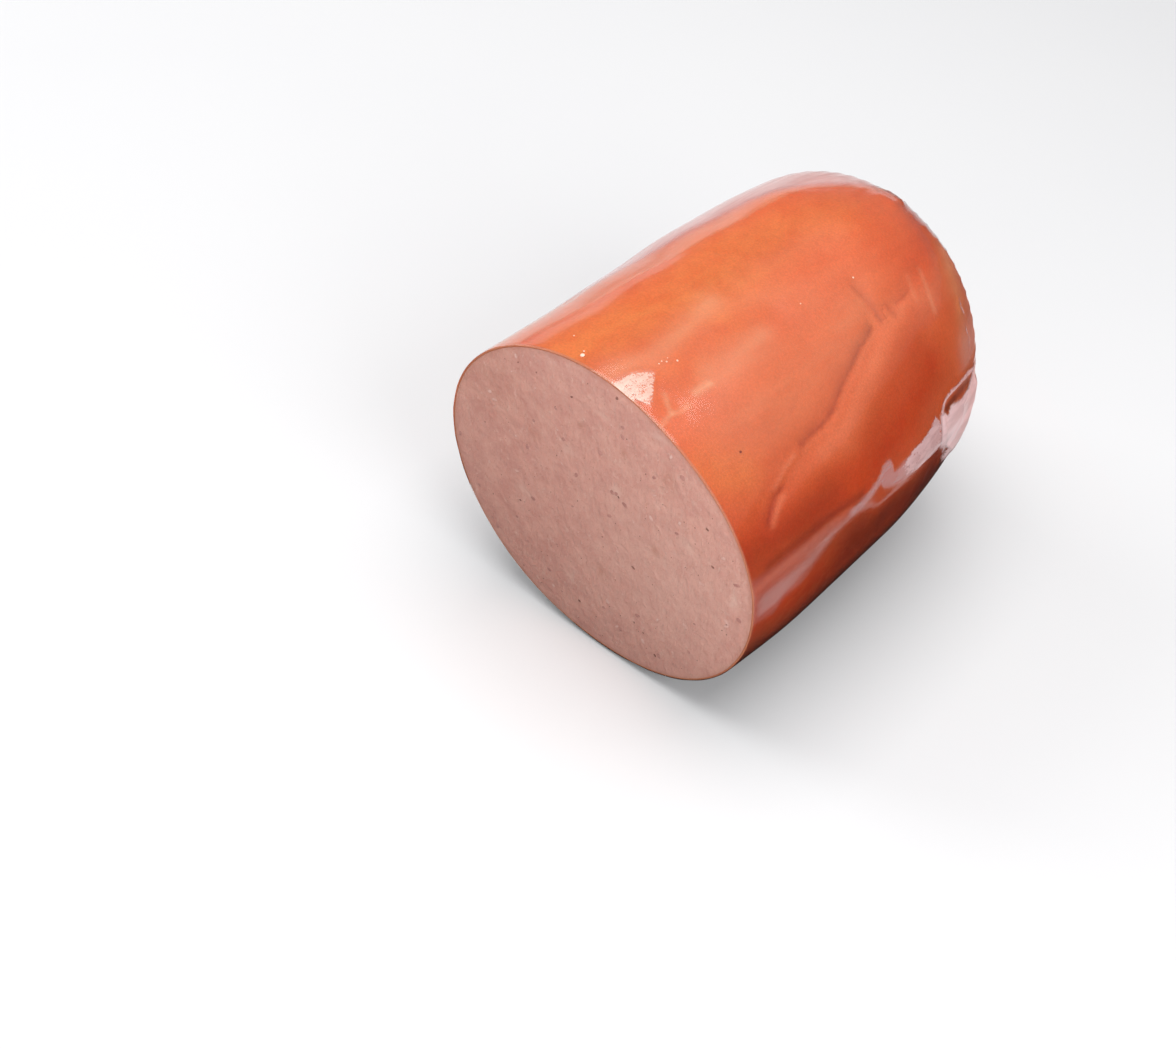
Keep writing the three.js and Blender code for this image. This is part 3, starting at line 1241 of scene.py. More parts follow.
@dataclass
class MeatCore:
    """The meat: the cut face at the near end, and the hidden body inside the skin."""

    form: RollForm
    pale_spots_and_painted_light: tuple[Blotch, ...] = (
        # Painted light: the first, broad blotch lightens the lower right of the cut. The rest are paler spots
        # of the meat.
        Blotch(30.0, -6.0, 66.0, 66.0, 0.42),
        Blotch(54.0, 3.6, 3.4, 9.0, 0.8),
        Blotch(7.0, 17.7, 4.2, 5.0, 0.6),
        Blotch(-12.6, 22.6, 6.0, 5.0, 0.45),
        Blotch(20.8, 49.2, 7.0, 2.6, 0.6),
        Blotch(-0.5, 44.7, 6.0, 2.0, 0.5),
        Blotch(35.4, 32.3, 1.6, 1.6, 0.8),
        Blotch(23.0, 22.1, 1.8, 2.4, 0.7),
        Blotch(35.3, 14.3, 5.0, 6.0, 0.5),
        Blotch(-30.0, -8.0, 7.0, 5.0, 0.5),
        Blotch(-8.0, -34.0, 5.0, 7.0, 0.5),
    )
    dull_spots_and_painted_shade: tuple[Blotch, ...] = (
        # Painted shade: the first, broad blotch darkens the upper left of the cut. The rest are duller spots
        # of the meat.
        Blotch(-46.0, 34.0, 34.0, 34.0, 0.3),
        Blotch(8.7, 34.8, 3.4, 3.0, 0.5),
        Blotch(-8.1, 35.3, 2.6, 2.6, 0.5),
        Blotch(25.5, 34.1, 7.0, 9.0, 0.34),
        Blotch(24.1, 3.2, 3.4, 5.0, 0.5),
        Blotch(-26.0, 20.0, 5.0, 4.0, 0.4),
        Blotch(4.0, -22.0, 4.0, 6.0, 0.4),
    )
    skin_thickness: float = 0.7
    hidden_depth: float = 1.4
    cells_across: int = 200
    rim_steps: int = 360
    hidden_rings: int = 12
    bulge: float = 0.35
    bulge_power: int = 6
    smooth_rim: Range = (0.96, 1.0)
    grain: Unevenness = Unevenness((Lumps("Grain", 2.6, 0.22), Lumps("Drag", 9.0, 0.12)), 3.0, 3)

    def cut_points(self) -> tuple[np.ndarray, np.ndarray, np.ndarray]:
        """Lays a square net over the cut so that its border is the rim.

        Returns:
            The net's points, how far out each is, from 0 to 1, and its angle in radians.
        """
        side = np.linspace(-1.0, 1.0, self.cells_across + 1)
        a, b = np.meshgrid(side, side, indexing="ij")
        wide = np.abs(a) > np.abs(b)
        reach = np.where(wide, a, b)
        safe = np.where(reach == 0, 1.0, reach)
        turn = np.where(wide, math.pi / 4 * b / safe, math.pi / 2 - math.pi / 4 * a / safe)
        x, y = reach * np.cos(turn), reach * np.sin(turn)
        share, angle = np.hypot(x, y), np.arctan2(y, x)
        rim = self.rim_points(angle)
        steps = np.linspace(-math.pi, math.pi, self.rim_steps, endpoint=False)
        middle = self.rim_points(steps).mean(axis=0)
        points = middle + (rim - middle) * share[..., None]
        swell = self.bulge * (1 - share**self.bulge_power)
        points = points + self.form.knife_normal() * swell[..., None]
        return points, share, angle

    def rim_points(self, angle: np.ndarray) -> np.ndarray:
        """Gives the meat's own rim at the cut, inside the skin.

        Args:
            angle: Angles in radians.

        Returns:
            The points.
        """
        station = self.form.cut_station(angle.reshape(-1)).reshape(angle.shape)
        radius = self.form.body_radius(station) - self.skin_thickness
        points = self.form.set_down(self.form.surface(station, angle, radius))
        points[..., 2] = np.maximum(points[..., 2], self.skin_thickness)
        return points

    def build(self, material: bpy.types.Material) -> bpy.types.Object:
        """Makes the meat as one closed piece.

        Args:
            material: The meat's finish.

        Returns:
            The piece.
        """
        draft = MeshDraft()
        points, share, angle = self.cut_points()
        middle = points[self.cells_across // 2, self.cells_across // 2]
        pale = sum(blotch.shown(points, middle) for blotch in self.pale_spots_and_painted_light)
        dull = sum(blotch.shown(points, middle) for blotch in self.dull_spots_and_painted_shade)
        shown = 1.0 - smoothstep(share, *self.smooth_rim)
        net = draft.add_points(points, rim=share, shown=shown, pale=pale, dull=dull)
        draft.add_quads(net[:-1, :-1], net[1:, :-1], net[1:, 1:], net[:-1, 1:])
        border, edge_angle = (
            np.concatenate([rows[:-1, 0], rows[-1, :-1], rows[:0:-1, -1], rows[0, :0:-1]])
            for rows in (net, angle)
        )
        hidden = {"rim": 1.0, "shown": 0.0, "pale": 0.0, "dull": 0.0}
        rings = [border]
        for station, radius in self.hidden_steps(edge_angle):
            rings.append(draft.add_points(self.hidden_points(station, radius, edge_angle), **hidden))
        draft.join_rings(np.stack(rings))
        tip = draft.add_points(self.form.pole() - np.array([0.0, self.hidden_depth, 0.0]), **hidden)
        draft.close_ring(rings[-1], int(tip[0]))
        return self.grain.raise_on(draft.build("meat_draft"), "cut_meat", material)

    def hidden_steps(self, angle: np.ndarray) -> list[tuple[np.ndarray, np.ndarray]]:
        """Lists the rings of the meat inside the skin.

        Args:
            angle: The angles of a ring's points, in radians.

        Returns:
            Each ring's stations and the plain form's radii there.
        """
        form = self.form
        start = form.cut_station(angle)
        steps = []
        for ring in range(1, self.hidden_rings):
            station = start + (form.dome_start - start) * ring / self.hidden_rings
            steps.append((station, form.body_radius(station)))
        for station, radius in zip(*form.dome_profile(self.hidden_rings)):
            steps.append((np.full(angle.shape, station), np.full(angle.shape, radius)))
        return steps

    def hidden_points(self, station: np.ndarray, radius: np.ndarray, angle: np.ndarray) -> np.ndarray:
        """Places one ring of the meat inside the skin.

        Args:
            station: The ring's stations.
            radius: The plain form's radii there.
            angle: The angles, in radians.

        Returns:
            The ring's points.
        """
        inset = np.minimum(radius, self.hidden_depth)
        points = self.form.set_down(self.form.surface(station, angle, radius - inset))
        points[..., 1] -= self.hidden_depth * smoothstep(station, self.form.dome_start, self.form.length)
        points[..., 2] = np.maximum(points[..., 2], self.skin_thickness)
        return points


@dataclass(frozen=True)
class SpeckFinish:
    """Small specks in the meat: one colour, a little uneven."""

    name: str
    colour: Colour
    other: Colour
    roughness: float
    spots: Pattern = Pattern(1.5, 2.0, low=0.4, high=0.6)
    grit: Pattern = Pattern(0.3, 2.0)
    grit_depth: float = 0.03

    def material(self) -> bpy.types.Material:
        """Builds the material and gives it."""
        paint = Paint(self.name)
        colour = paint.tinted(self.colour, self.other, paint.clouds(self.spots))
        normal = paint.bump(paint.noise(self.grit), self.grit_depth)
        inputs = {"Base Color": colour, "Roughness": self.roughness, "Normal": normal}
        return paint.finish(paint.solid(inputs))


@dataclass(frozen=True)
class Specks:
    """Specks of one kind, scattered over the cut: flat grains that lie half in the meat."""

    name: str
    finish: SpeckFinish
    per_square_cm: float
    size: float
    smallest_share: float
    longest_stretch: float
    flatness: float
    seed: int
    least_shown: float = 0.95
    dent_share: float = 0.5

    def build(self, meat: bpy.types.Object) -> bpy.types.Object:
        """Scatters the specks.

        Args:
            meat: The finished meat, whose cut they lie on.

        Returns:
            The piece.
        """
        tree = GeometryTree(self.name)
        seed = tree.size("Seed", self.seed)
        density = tree.size("Per Square Metre", self.per_square_cm * SQUARE_CM_IN_M2)
        size = tree.size("Size", self.size * MM)
        smallest = tree.size("Smallest Share", self.smallest_share)
        stretch = tree.size("Longest Stretch", self.longest_stretch)
        flat = tree.size("Flatness", self.flatness)
        on_cut = tree.maths("GREATER_THAN", tree.carried("shown"), self.least_shown)
        inputs = {"Mesh": tree.start.outputs[0], "Selection": on_cut, "Density": density, "Seed": seed}
        spread = tree.add("GeometryNodeDistributePointsOnFaces", inputs)
        grain = tree.add("GeometryNodeMeshIcoSphere", {"Radius": 0.5, "Subdivisions": 3})
        inputs = {
            "Points": spread.outputs["Points"],
            "Instance": grain.outputs["Mesh"],
            "Rotation": spread.outputs["Rotation"],
        }
        placed = tree.add("GeometryNodeInstanceOnPoints", inputs).outputs[0]
        spin = tree.random(0.0, 2 * math.pi, seed)
        turn = tree.add("ShaderNodeCombineXYZ", {"Z": spin}).outputs[0]
        turned = tree.add("GeometryNodeRotateInstances", {"Instances": placed, "Rotation": turn}).outputs[0]
        wide = tree.maths("MULTIPLY", size, tree.random(smallest, 1.0, seed))
        long = tree.maths("MULTIPLY", wide, tree.random(1.0, stretch, seed, 5))
        high = tree.maths("MULTIPLY", wide, flat)
        scale = tree.add("ShaderNodeCombineXYZ", {0: wide, 1: long, 2: high}).outputs[0]
        scaled = tree.add("GeometryNodeScaleInstances", {"Instances": turned, "Scale": scale})
        real = tree.add("GeometryNodeRealizeInstances", {0: scaled.outputs[0]}).outputs[0]
        dented = tree.moved(real, self.dents(tree, size))
        smooth = tree.add("GeometryNodeSetShadeSmooth", {"Geometry": dented})
        tree.close(smooth.outputs[0], self.finish.material())
        return tree.run(in_scene(f"{self.name}_ground", meat.data.copy()), self.name)

    def dents(self, tree: GeometryTree, size: bpy.types.NodeSocket) -> bpy.types.NodeSocket:
        """Makes offsets along the cut, which leave each speck with an outline of its own.

        Args:
            tree: The tree.
            size: The specks' size.

        Returns:
            The offsets' socket.
        """
        inputs = {"Scale": 1.0 / self.size / MM, "Detail": 1.0}
        noise = tree.add("ShaderNodeTexNoise", inputs).outputs["Color"]
        centred = tree.vector_maths("SUBTRACT", noise, (0.5, 0.5, 0.5))
        dent = tree.vector_maths("SCALE", centred, tree.maths("MULTIPLY", size, self.dent_share))
        return tree.vector_maths("MULTIPLY", dent, (1.0, 0.0, 1.0))


def cut_specks() -> tuple[Specks, ...]:
    """Lists the kinds of specks that the cut shows."""
    pore = SpeckFinish("pore", linear(136, 88, 76), linear(156, 106, 92), 0.6)
    pale = SpeckFinish("pale fleck", linear(232, 188, 176), linear(226, 176, 162), 0.42)
    dusky = SpeckFinish("dusky fleck", linear(190, 132, 122), linear(204, 146, 134), 0.45)
    return (
        Specks("meat_pores", pore, 0.2, 0.95, 0.45, 1.7, 0.12, 11),
        Specks("meat_pinholes", pore, 0.9, 0.42, 0.5, 1.4, 0.16, 12),
        Specks("meat_pale_flecks", pale, 0.4, 1.3, 0.3, 2.2, 0.05, 13),
        Specks("meat_dusky_flecks", dusky, 0.35, 1.8, 0.4, 1.8, 0.05, 14),
    )


@dataclass
class RollWrap:
    """A closed shell round the roll: its outer face, the rows of its near edge and a hidden inner face."""

    form: RollForm
    columns: int = 360
    body_rings: int = 92
    dome_rings: int = 140
    hidden_body_rings: int = 8
    hidden_dome_rings: int = 14
    unevenness: Unevenness = Unevenness()

    def close(
        self,
        draft: MeshDraft,
        shown: np.ndarray,
        edges: list[np.ndarray],
        hidden: dict[str, float],
        depth: float,
        rise: float = 0.0,
    ) -> None:
        """Adds the hidden inner face and both faces' tips, and joins everything.

        Args:
            draft: The mesh, which has the outer face and the edge rows.
            shown: The outer face's point numbers, a row for each ring from the cut on.
            edges: The edge rows' point numbers, from the outside in.
            hidden: Named numbers for the points that it adds.
            depth: How deep the inner face lies.
            rise: How far the outer face's tip stands off the roll.
        """
        grid = self.form.grid(self.columns, self.hidden_body_rings, self.hidden_dome_rings)
        inner = draft.add_points(grid.lifted(-depth)[1:], **hidden)
        tip = draft.add_points(self.form.pole() + np.array([0.0, rise, 0.0]), **hidden)
        inner_tip = draft.add_points(self.form.pole() - np.array([0.0, depth, 0.0]), **hidden)
        draft.join_rings(np.concatenate([shown[::-1], edges, inner]))
        draft.close_ring(shown[-1][::-1], int(tip[0]))
        draft.close_ring(inner[-1], int(inner_tip[0]))


@dataclass
class SkinSleeve(RollWrap):
    """The smoked skin, with its cut rim."""

    rim_rounding: float = 0.3
    corner_rim: float = 0.6
    overlap: float = 1.2
    crease_reach: float = 5.0
    crease_end: float = 1.5
    clear_tops: tuple[Stroke, ...] = (
        Stroke(((-4, 106), (20, 103), (44, 98), (64, 98)), 15.0, 1.0),
        Stroke(((64, 100), (90, 98), (112, 92)), 13.0, 0.7),
        Stroke(((4, 50), (14, 44)), 9.0, 0.6),
        Stroke(((8, 80), (18, 77), (30, 83), (42, 83)), 6.5, 0.6),
        Stroke(((130, 26), (132, 36), (136, 47), (142, 58)), 6.0, 0.75),
    )
    deep_places: tuple[Stroke, ...] = (
        Stroke(((2, 24), (30, 20), (60, 18), (90, 26), (104, 32)), 9.0, 0.95),
        Stroke(((44, 25), (60, 25), (74, 31), (88, 38), (100, 42)), 6.0, 0.4),
        Stroke(((9, 80), (13, 77), (18, 76)), 3.4, 0.36),
        Stroke(((21, 78.8), (24.4, 81.2), (31.4, 83.2), (35.4, 84.4), (41, 82)), 2.8, 0.34),
        Stroke(((110, 52), (120, 50), (126, 45)), 8.0, 0.36),
        Stroke(((124, 62), (136, 66), (146, 76)), 8.0, 0.4),
        Stroke(((0, 4), (40, -6), (90, -8), (130, 4)), 13.0, 0.9),
        Stroke(((0, 176), (60, 182), (130, 176)), 16.0, 0.8),
    )
    # Painted shade: dark strokes low on the flanks, a fine dark line along a film fold, and the inside of the
    # film's loop.
    painted_shade_places: tuple[Stroke, ...] = (
        Stroke(((2, 21), (28, 19), (44, 21)), 7.0, 0.3),
        Stroke(((0, 6), (30, 6), (54, 8)), 7.0, 0.35),
        Stroke(((-2, -12), (24, -9), (50, -3)), 10.0, 0.36),
        Stroke(((56, -1), (80, -3), (110, -10)), 11.0, 0.7),
        Stroke(((12, 14.6), (29, 15.2), (43, 14.8), (58, 14.4)), 1.5, 0.4),
        Stroke(((4, 14), (20, 13.2), (40, 13.2)), 4.0, 0.22),
        Stroke(((111, 14.8), (120, 15.8), (128, 15.5)), 2.2, 0.85),
    )
    # Painted sheen: pale strokes beside the creases and near the cut, where light catches the skin.
    painted_sheen_places: tuple[Stroke, ...] = (
        Stroke(((23.4, 34.4), (29.4, 37.6), (34.9, 39.2)), 0.9, 0.7),
        Stroke(((17.4, 25.4), (21, 28.4), (25, 30.6)), 1.0, 0.6),
        Stroke(
            ((46, 35), (60, 37.6), (66, 41.4), (76, 45.4), (85, 48.6), (93, 51.4), (101, 53.2)), 2.8, 0.5
        ),
        Stroke(((101, 55), (112, 54), (119, 50)), 3.6, 0.36),
        Stroke(((30, 37), (48, 33), (58, 31)), 3.4, 0.2),
        Stroke(((56, 34.5), (67.7, 38.4), (74.1, 42.6), (84, 47)), 4.2, 0.34),
        Stroke(((3, 66), (14, 66), (30, 64)), 8.0, 0.3),
    )

    def shades(self, grid: RollGrid) -> dict[str, np.ndarray]:
        """Grades where the smoke left the skin clearer or deeper, where painted shade and painted sheen lie,
        and how near a crease each point lies.

        Args:
            grid: The skin's points.

        Returns:
            Numbers from 0 to 1 for the finish's amber, deep, painted shade, painted sheen and crease, and
            distances for its crease side, all without the first ring.
        """
        radius = self.form.belly_radius
        mark, side = np.zeros(grid.station.shape), np.zeros(grid.station.shape)
        for crease in self.form.creases:
            _, off, past = crease.measured(grid.station, grid.angle, radius)
            near = crease.mark * np.exp(-((off / self.crease_reach) ** 2) - (past / self.crease_end) ** 2)
            side = np.where(near > mark, off, side)
            mark = np.maximum(mark, near)
        shades = {
            "amber": shown_by(self.clear_tops, grid, radius),
            "deep": shown_by(self.deep_places, grid, radius),
            "dusk": shown_by(self.painted_shade_places, grid, radius),
            "salmon": shown_by(self.painted_sheen_places, grid, radius),
            "crease": mark,
            "crease_side": side,
        }
        return {name: rows[1:] for name, rows in shades.items()}

    def build(self, material: bpy.types.Material) -> bpy.types.Object:
        """Makes the skin.

        Args:
            material: Its finish.

        Returns:
            The piece.
        """
        grid = self.form.grid(self.columns, self.body_rings, self.dome_rings)
        facing, outward, edge = self.form.knife_normal(), grid.normals()[0], grid.points[0]
        drawn = outward - facing * (outward @ facing)[:, None]
        drawn /= np.linalg.norm(drawn, axis=-1, keepdims=True)
        back = -facing * self.rim_rounding
        draft = MeshDraft()
        shades = self.shades(grid)
        free = free_of_table(grid.points)[1:]
        shown = draft.add_points(grid.points[1:], **shades, rim=0.0, shown=free)
        at_corner = {name: rows[0] for name, rows in shades.items()}
        hidden = dict.fromkeys([*shades, "rim", "shown"], 0.0)
        cut = {**hidden, "rim": 1.0}
        edges = [
            draft.add_points(edge + back, **at_corner, rim=self.corner_rim, shown=0.0),
            draft.add_points(edge - drawn * self.rim_rounding, **cut),
            draft.add_points(edge - drawn * self.overlap + back, **cut),
        ]
        self.close(draft, shown, edges, hidden, self.overlap)
        return self.unevenness.raise_on(draft.build("skin_draft"), "smoked_skin", material)


@dataclass(frozen=True)
class SlackFilm:
    """A stretch where the film stands off the skin, between an upper and a lower line of places; it may carry
    painted sheen.
    """

    upper: tuple[Place, ...]
    lower: tuple[Place, ...]
    lift: float
    haze: float = 0.0
    veil: float = 0.0
    white: float = 0.0
    warm: float = 0.0
    soft: float = 1.5
    soft_above: float = 1.5
    end_soft: float = 3.0

    def fill(self, station: np.ndarray, angle: np.ndarray, radius: float) -> np.ndarray:
        """Says how far inside the stretch each point is.

        Args:
            station: Stations of the points.
            angle: Their angles, in radians.
            radius: The roll's radius.

        Returns:
            0 outside, rising to 1 inside.
        """
        upper = np.array(sorted(self.upper))
        lower = np.array(sorted(self.lower))
        top = np.interp(station, upper[:, 0], upper[:, 1])
        bottom = np.interp(station, lower[:, 0], lower[:, 1])
        degrees = np.degrees(angle)
        below_top = (top - degrees) * math.radians(1) * radius
        above_bottom = (degrees - bottom) * math.radians(1) * radius
        across = np.minimum(
            smoothstep(below_top, -self.soft_above / 2, self.soft_above),
            smoothstep(above_bottom, -self.soft / 2, self.soft),
        )
        first = max(upper[0, 0], lower[0, 0])
        last = min(upper[-1, 0], lower[-1, 0])
        ends = np.minimum(station - first, last - station)
        return across * smoothstep(ends, -self.end_soft / 2, self.end_soft)


@dataclass
class ClearFilm(RollWrap):
    """The clear film: tight on the skin, slack in places, folded at the lower right of the far end, with
    painted sheen and a painted highlight.
    """

    gap: float = 0.12
    edge_gap: float = 0.04
    tuck: float = 0.4
    sunk: float = 0.5
    edge_waver: float = 0.1
    edge_offset: float = 0.6
    edge_waves: tuple[int, int] = (9, 23)
    edge_shift: float = 1.0
    white_rise: float = 3.0
    pucker_count: int = 64
    pucker_height: float = 0.22
    pucker_sway: float = 2.0
    pucker_sways: int = 3
    pucker_inner: Range = (4.0, 20.0)
    pucker_outer: Range = (54.0, 61.5)
    slack: tuple[SlackFilm, ...] = (
        SlackFilm(
            upper=(
                (80, 11.8), (84.3, 12.4), (87.3, 13.4), (95.3, 13.8), (100.2, 15.4), (103, 17.2),
                (106, 13.6), (108.4, 15.6),
            ),
            lower=((80, 6.6), (86.5, 5.4), (92.8, 4.8), (100.6, 3.8), (106.9, 2.6), (110, 0.4)),
            lift=0.14,
            haze=0.85,
            soft=1.8,
            soft_above=1.8,
            end_soft=6.0,
        ),
        # Slack film with painted sheen laid over it.
        SlackFilm(
            upper=(
                (50, 12.2), (60.2, 13.4), (66, 14.6), (68.8, 16), (70, 17.6), (72.7, 18), (75.2, 17),
                (76, 15), (76.6, 12), (80, 12), (84.3, 12.6), (90, 13.4),
            ),
            lower=(
                (50, 9.4), (58.3, 9.8), (64.4, 10.8), (68.4, 11.8), (69.8, 9.4), (74.5, 7.4), (80.4, 5.8),
                (90, 4.8),
            ),
            lift=0.06,
            haze=0.2,
            veil=0.35,
            white=1.0,
            soft=1.6,
            soft_above=1.0,
            end_soft=3.0,
        ),
        # Painted reflection: a pale band low on the right-hand flank.
        SlackFilm(
            upper=((4, 8), (11, 8.6), (20, 9), (32, 10), (44, 11.2), (53, 11.5), (62, 12.4)),
            lower=((4, -1), (15, -1.4), (20, 0.6), (32, 3.4), (44, 8), (53, 9.4), (62, 11)),
            lift=0.03,
            veil=0.29,
            white=0.85,
            soft=2.4,
            soft_above=4.0,
            end_soft=5.0,
        ),
        # The loop of slack film, whitened further by painted sheen.
        SlackFilm(
            upper=(
                (106, 15.5), (109.5, 14.4), (111.4, 12), (112.5, 13.6), (113.9, 14.8), (118.9, 13.2),
                (122.3, 12.4), (127.8, 12.8), (131, 14.5), (140, 15),
            ),
            lower=((106, 2), (112.5, -1), (120, -9), (140, -10)),
            lift=0.12,
            haze=0.86,
            veil=0.9,
            white=1.0,
            soft=2.0,
            soft_above=1.0,
            end_soft=1.5,
        ),
        # Painted reflection: a fainter pale band low on the right-hand flank, near the cut.
        SlackFilm(
            upper=((-2, 15), (5, 14.4), (12, 13.6), (20, 13.6), (34, 13.4), (43, 13.2), (54, 12.6), (62, 13)),
            lower=(
                (-2, -3), (6, -3), (15, -4.6), (19, -1), (27, -0.6), (32, 1.8), (38, 4.2), (44, 7), (56, 10),
            ),
            lift=0.05,
            veil=0.11,
            white=0.85,
            soft=2.4,
            soft_above=3.0,
        ),
        # Painted highlight: a bright cream patch of gloss on the film at the cut's upper edge.
        SlackFilm(
            upper=((-2, 89.8), (0, 89.2), (4.1, 88.6), (8.2, 86.8), (12.6, 84)),
            lower=((-2, 79.6), (0.6, 78.4), (1.4, 75.4), (3.6, 75.2), (5.4, 77.2), (8.2, 80), (12.6, 83)),
            lift=0.25,
            haze=0.72,
            warm=1.0,
            soft=1.8,
            soft_above=4.0,
            end_soft=0.8,
        ),
        # Painted reflection: two pale bands along the upper left of the roll, the outer one whiter.
        SlackFilm(
            upper=((-12, 152), (150, 152)),
            lower=(
                (-12, 124), (0, 123.6), (18.3, 121), (39.8, 117.6), (61, 114), (80, 110.6), (97, 109),
                (116.4, 104.6), (127.2, 97.4), (135.2, 91.8), (142.5, 88), (150, 85),
            ),
            lift=0.06,
            veil=0.17,
            soft=0.5,
            soft_above=14.0,
            end_soft=8.0,
        ),
        SlackFilm(
            upper=((-12, 152), (150, 152)),
            lower=(
                (-12, 144), (29, 137), (53, 128.6), (72, 121.6), (102, 115.6), (116, 107), (127, 99),
                (135, 93.6), (150, 88),
            ),
            lift=0.1,
            veil=0.5,
            white=0.9,
            soft=7.0,
            soft_above=14.0,
            end_soft=8.0,
        ),
        # Painted sheen on the dome's right-hand side.
        SlackFilm(
            upper=((122, 35), (146, 35)),
            lower=((122, 20.5), (146, 19.5)),
            lift=0.05,
            veil=0.22,
            white=0.8,
            soft=2.6,
            soft_above=11.0,
            end_soft=9.0,
        ),
    )
    folds: tuple[Fold, ...] = (
        Fold(
            ((135.8, 15.2), (127.8, 18.2), (120.9, 19), (114.7, 19.4), (110.3, 18.8), (108, 17.6)),
            1.0, 0.85, 0.6,
        ),
        Fold(((108, 17.6), (107.6, 15.6), (108, 12.4), (109.1, 8), (110.6, 2.8), (110, -1)), 0.8, 0.9, 0.5),
        Fold(
            ((133, 14.8), (128.4, 12.4), (124.9, 10), (122, 10), (122.6, 6.4), (122, 3), (118, 0)),
            1.0, 0.9, 0.5,
        ),
        Fold(((139, 5), (134, -2), (128, -5), (121, -6), (114, -5)), 3.5, 0.95, 1.3),
        Fold(((142, 82), (143, 86), (142.5, 90)), 1.6, 0.2, 0.5),
        Fold(((134.4, 42), (133.2, 39.4), (134.6, 36.6)), 0.9, 0.62, 0.5),
        Fold(((132.2, 33), (133.4, 29), (132.4, 25)), 1.0, 0.5, 0.3),
    )
    # Painted sheen: soft strokes of reflected light on the film.
    glows: tuple[Stroke, ...] = (
        Stroke(((30, 62), (60, 66), (90, 66)), 20.0, 0.1),
        Stroke(((16, 56), (50, 52), (84, 60)), 12.0, 0.07),
        Stroke(((1, 69.2), (5.6, 70.2), (8.2, 69.4), (12.4, 69.4)), 0.9, 0.3),
        Stroke(((17.3, 71.2), (19.3, 71.4), (22.9, 71.2)), 1.4, 0.36),
        Stroke(((24.9, 73.2), (33.9, 72.6), (41.3, 72.6), (50, 73.4)), 4.8, 0.18),
        Stroke(((6.1, 70.4), (7.1, 73.2), (8.7, 76)), 0.9, 0.28),
        Stroke(((2, 91), (9.2, 88.6), (14.8, 87), (27.9, 88.6), (38.9, 90), (46, 91.4)), 4.8, 0.2),
        Stroke(((44, 88), (58, 84), (74, 76)), 5.0, 0.08),
        Stroke(((60, 90), (84, 88), (104, 84)), 5.0, 0.06),
        Stroke(((112, 52), (128, 50), (138, 52)), 8.0, 0.06),
        Stroke(((132, 34), (136, 46), (142, 58)), 5.0, 0.1),
        Stroke(((121, 59), (118, 51), (117, 45.6)), 1.0, 0.13),
        Stroke(((114, 60), (112, 56), (111, 52)), 0.9, 0.08),
    )

    def shape(self, grid: RollGrid) -> tuple[np.ndarray, dict[str, np.ndarray]]:
        """Works out how far the film stands off the skin and where it is milky.

        Args:
            grid: The skin's points.

        Returns:
            The lift, and the finish's ragged haze, smooth painted sheen, whiteness and painted highlight, at
            each point.
        """
        radius = self.form.belly_radius
        lift = np.full(grid.station.shape, self.gap)
        haze, veil, white, warm = (np.zeros(grid.station.shape) for _ in range(4))
        for patch in self.slack:
            fill = patch.fill(grid.station, grid.angle, radius)
            lift += patch.lift * fill
            haze = np.maximum(haze, patch.haze * fill)
            veil = np.maximum(veil, patch.veil * fill)
            white = np.maximum(white, patch.white * np.minimum(self.white_rise * fill, 1.0))
            warm = np.maximum(warm, patch.warm * (fill > 0))
        veil = np.maximum(veil, shown_by(self.glows, grid, radius))
        for fold in self.folds:
            near = fold.nearness(grid.station, grid.angle, radius)
            lift += fold.height * near
            haze = np.maximum(haze, fold.mark * near)
        dome = smoothstep(grid.radius, *self.pucker_inner) * (1 - smoothstep(grid.radius, *self.pucker_outer))
        dome = np.where(grid.station > self.form.dome_start, dome, 0.0)
        sway = self.pucker_sway * np.sin(self.pucker_sways * grid.angle)
        wave = np.sin(self.pucker_count * grid.angle + sway)
        lift += self.pucker_height * dome * np.maximum(wave, 0.0) ** 2
        return lift, {"haze": haze, "veil": veil, "white": white, "warm": warm}

    def build(self, material: bpy.types.Material) -> bpy.types.Object:
        """Makes the film.

        Args:
            material: Its finish.

        Returns:
            The piece.
        """
        grid = self.form.grid(self.columns, self.body_rings, self.dome_rings)
        facing = self.form.knife_normal()
        lift, milk = self.shape(grid)
        lift[0] = self.edge_gap
        points = grid.lifted(lift)
        points[..., 2] = np.maximum(points[..., 2], 0.0)
        around = grid.angle[0]
        first, second = self.edge_waves
        waves = np.sin(first * around) * np.sin(second * around + self.edge_shift)
        waver = self.edge_waver * (self.edge_offset + waves)
        points[0] += facing * waver[:, None]
        draft = MeshDraft()
        free = free_of_table(grid.points)
        free[0] = 0.0
        shown = draft.add_points(points, **milk, shown=free)
        hidden = dict.fromkeys([*milk, "shown"], 0.0)
        behind = grid.points[0] - (grid.normals()[0] + facing) * self.tuck
        tucked = draft.add_points(behind, **hidden)
        self.close(draft, shown, [tucked], hidden, self.sunk, self.gap)
        return self.unevenness.raise_on(draft.build("film_draft"), "clear_film", material)


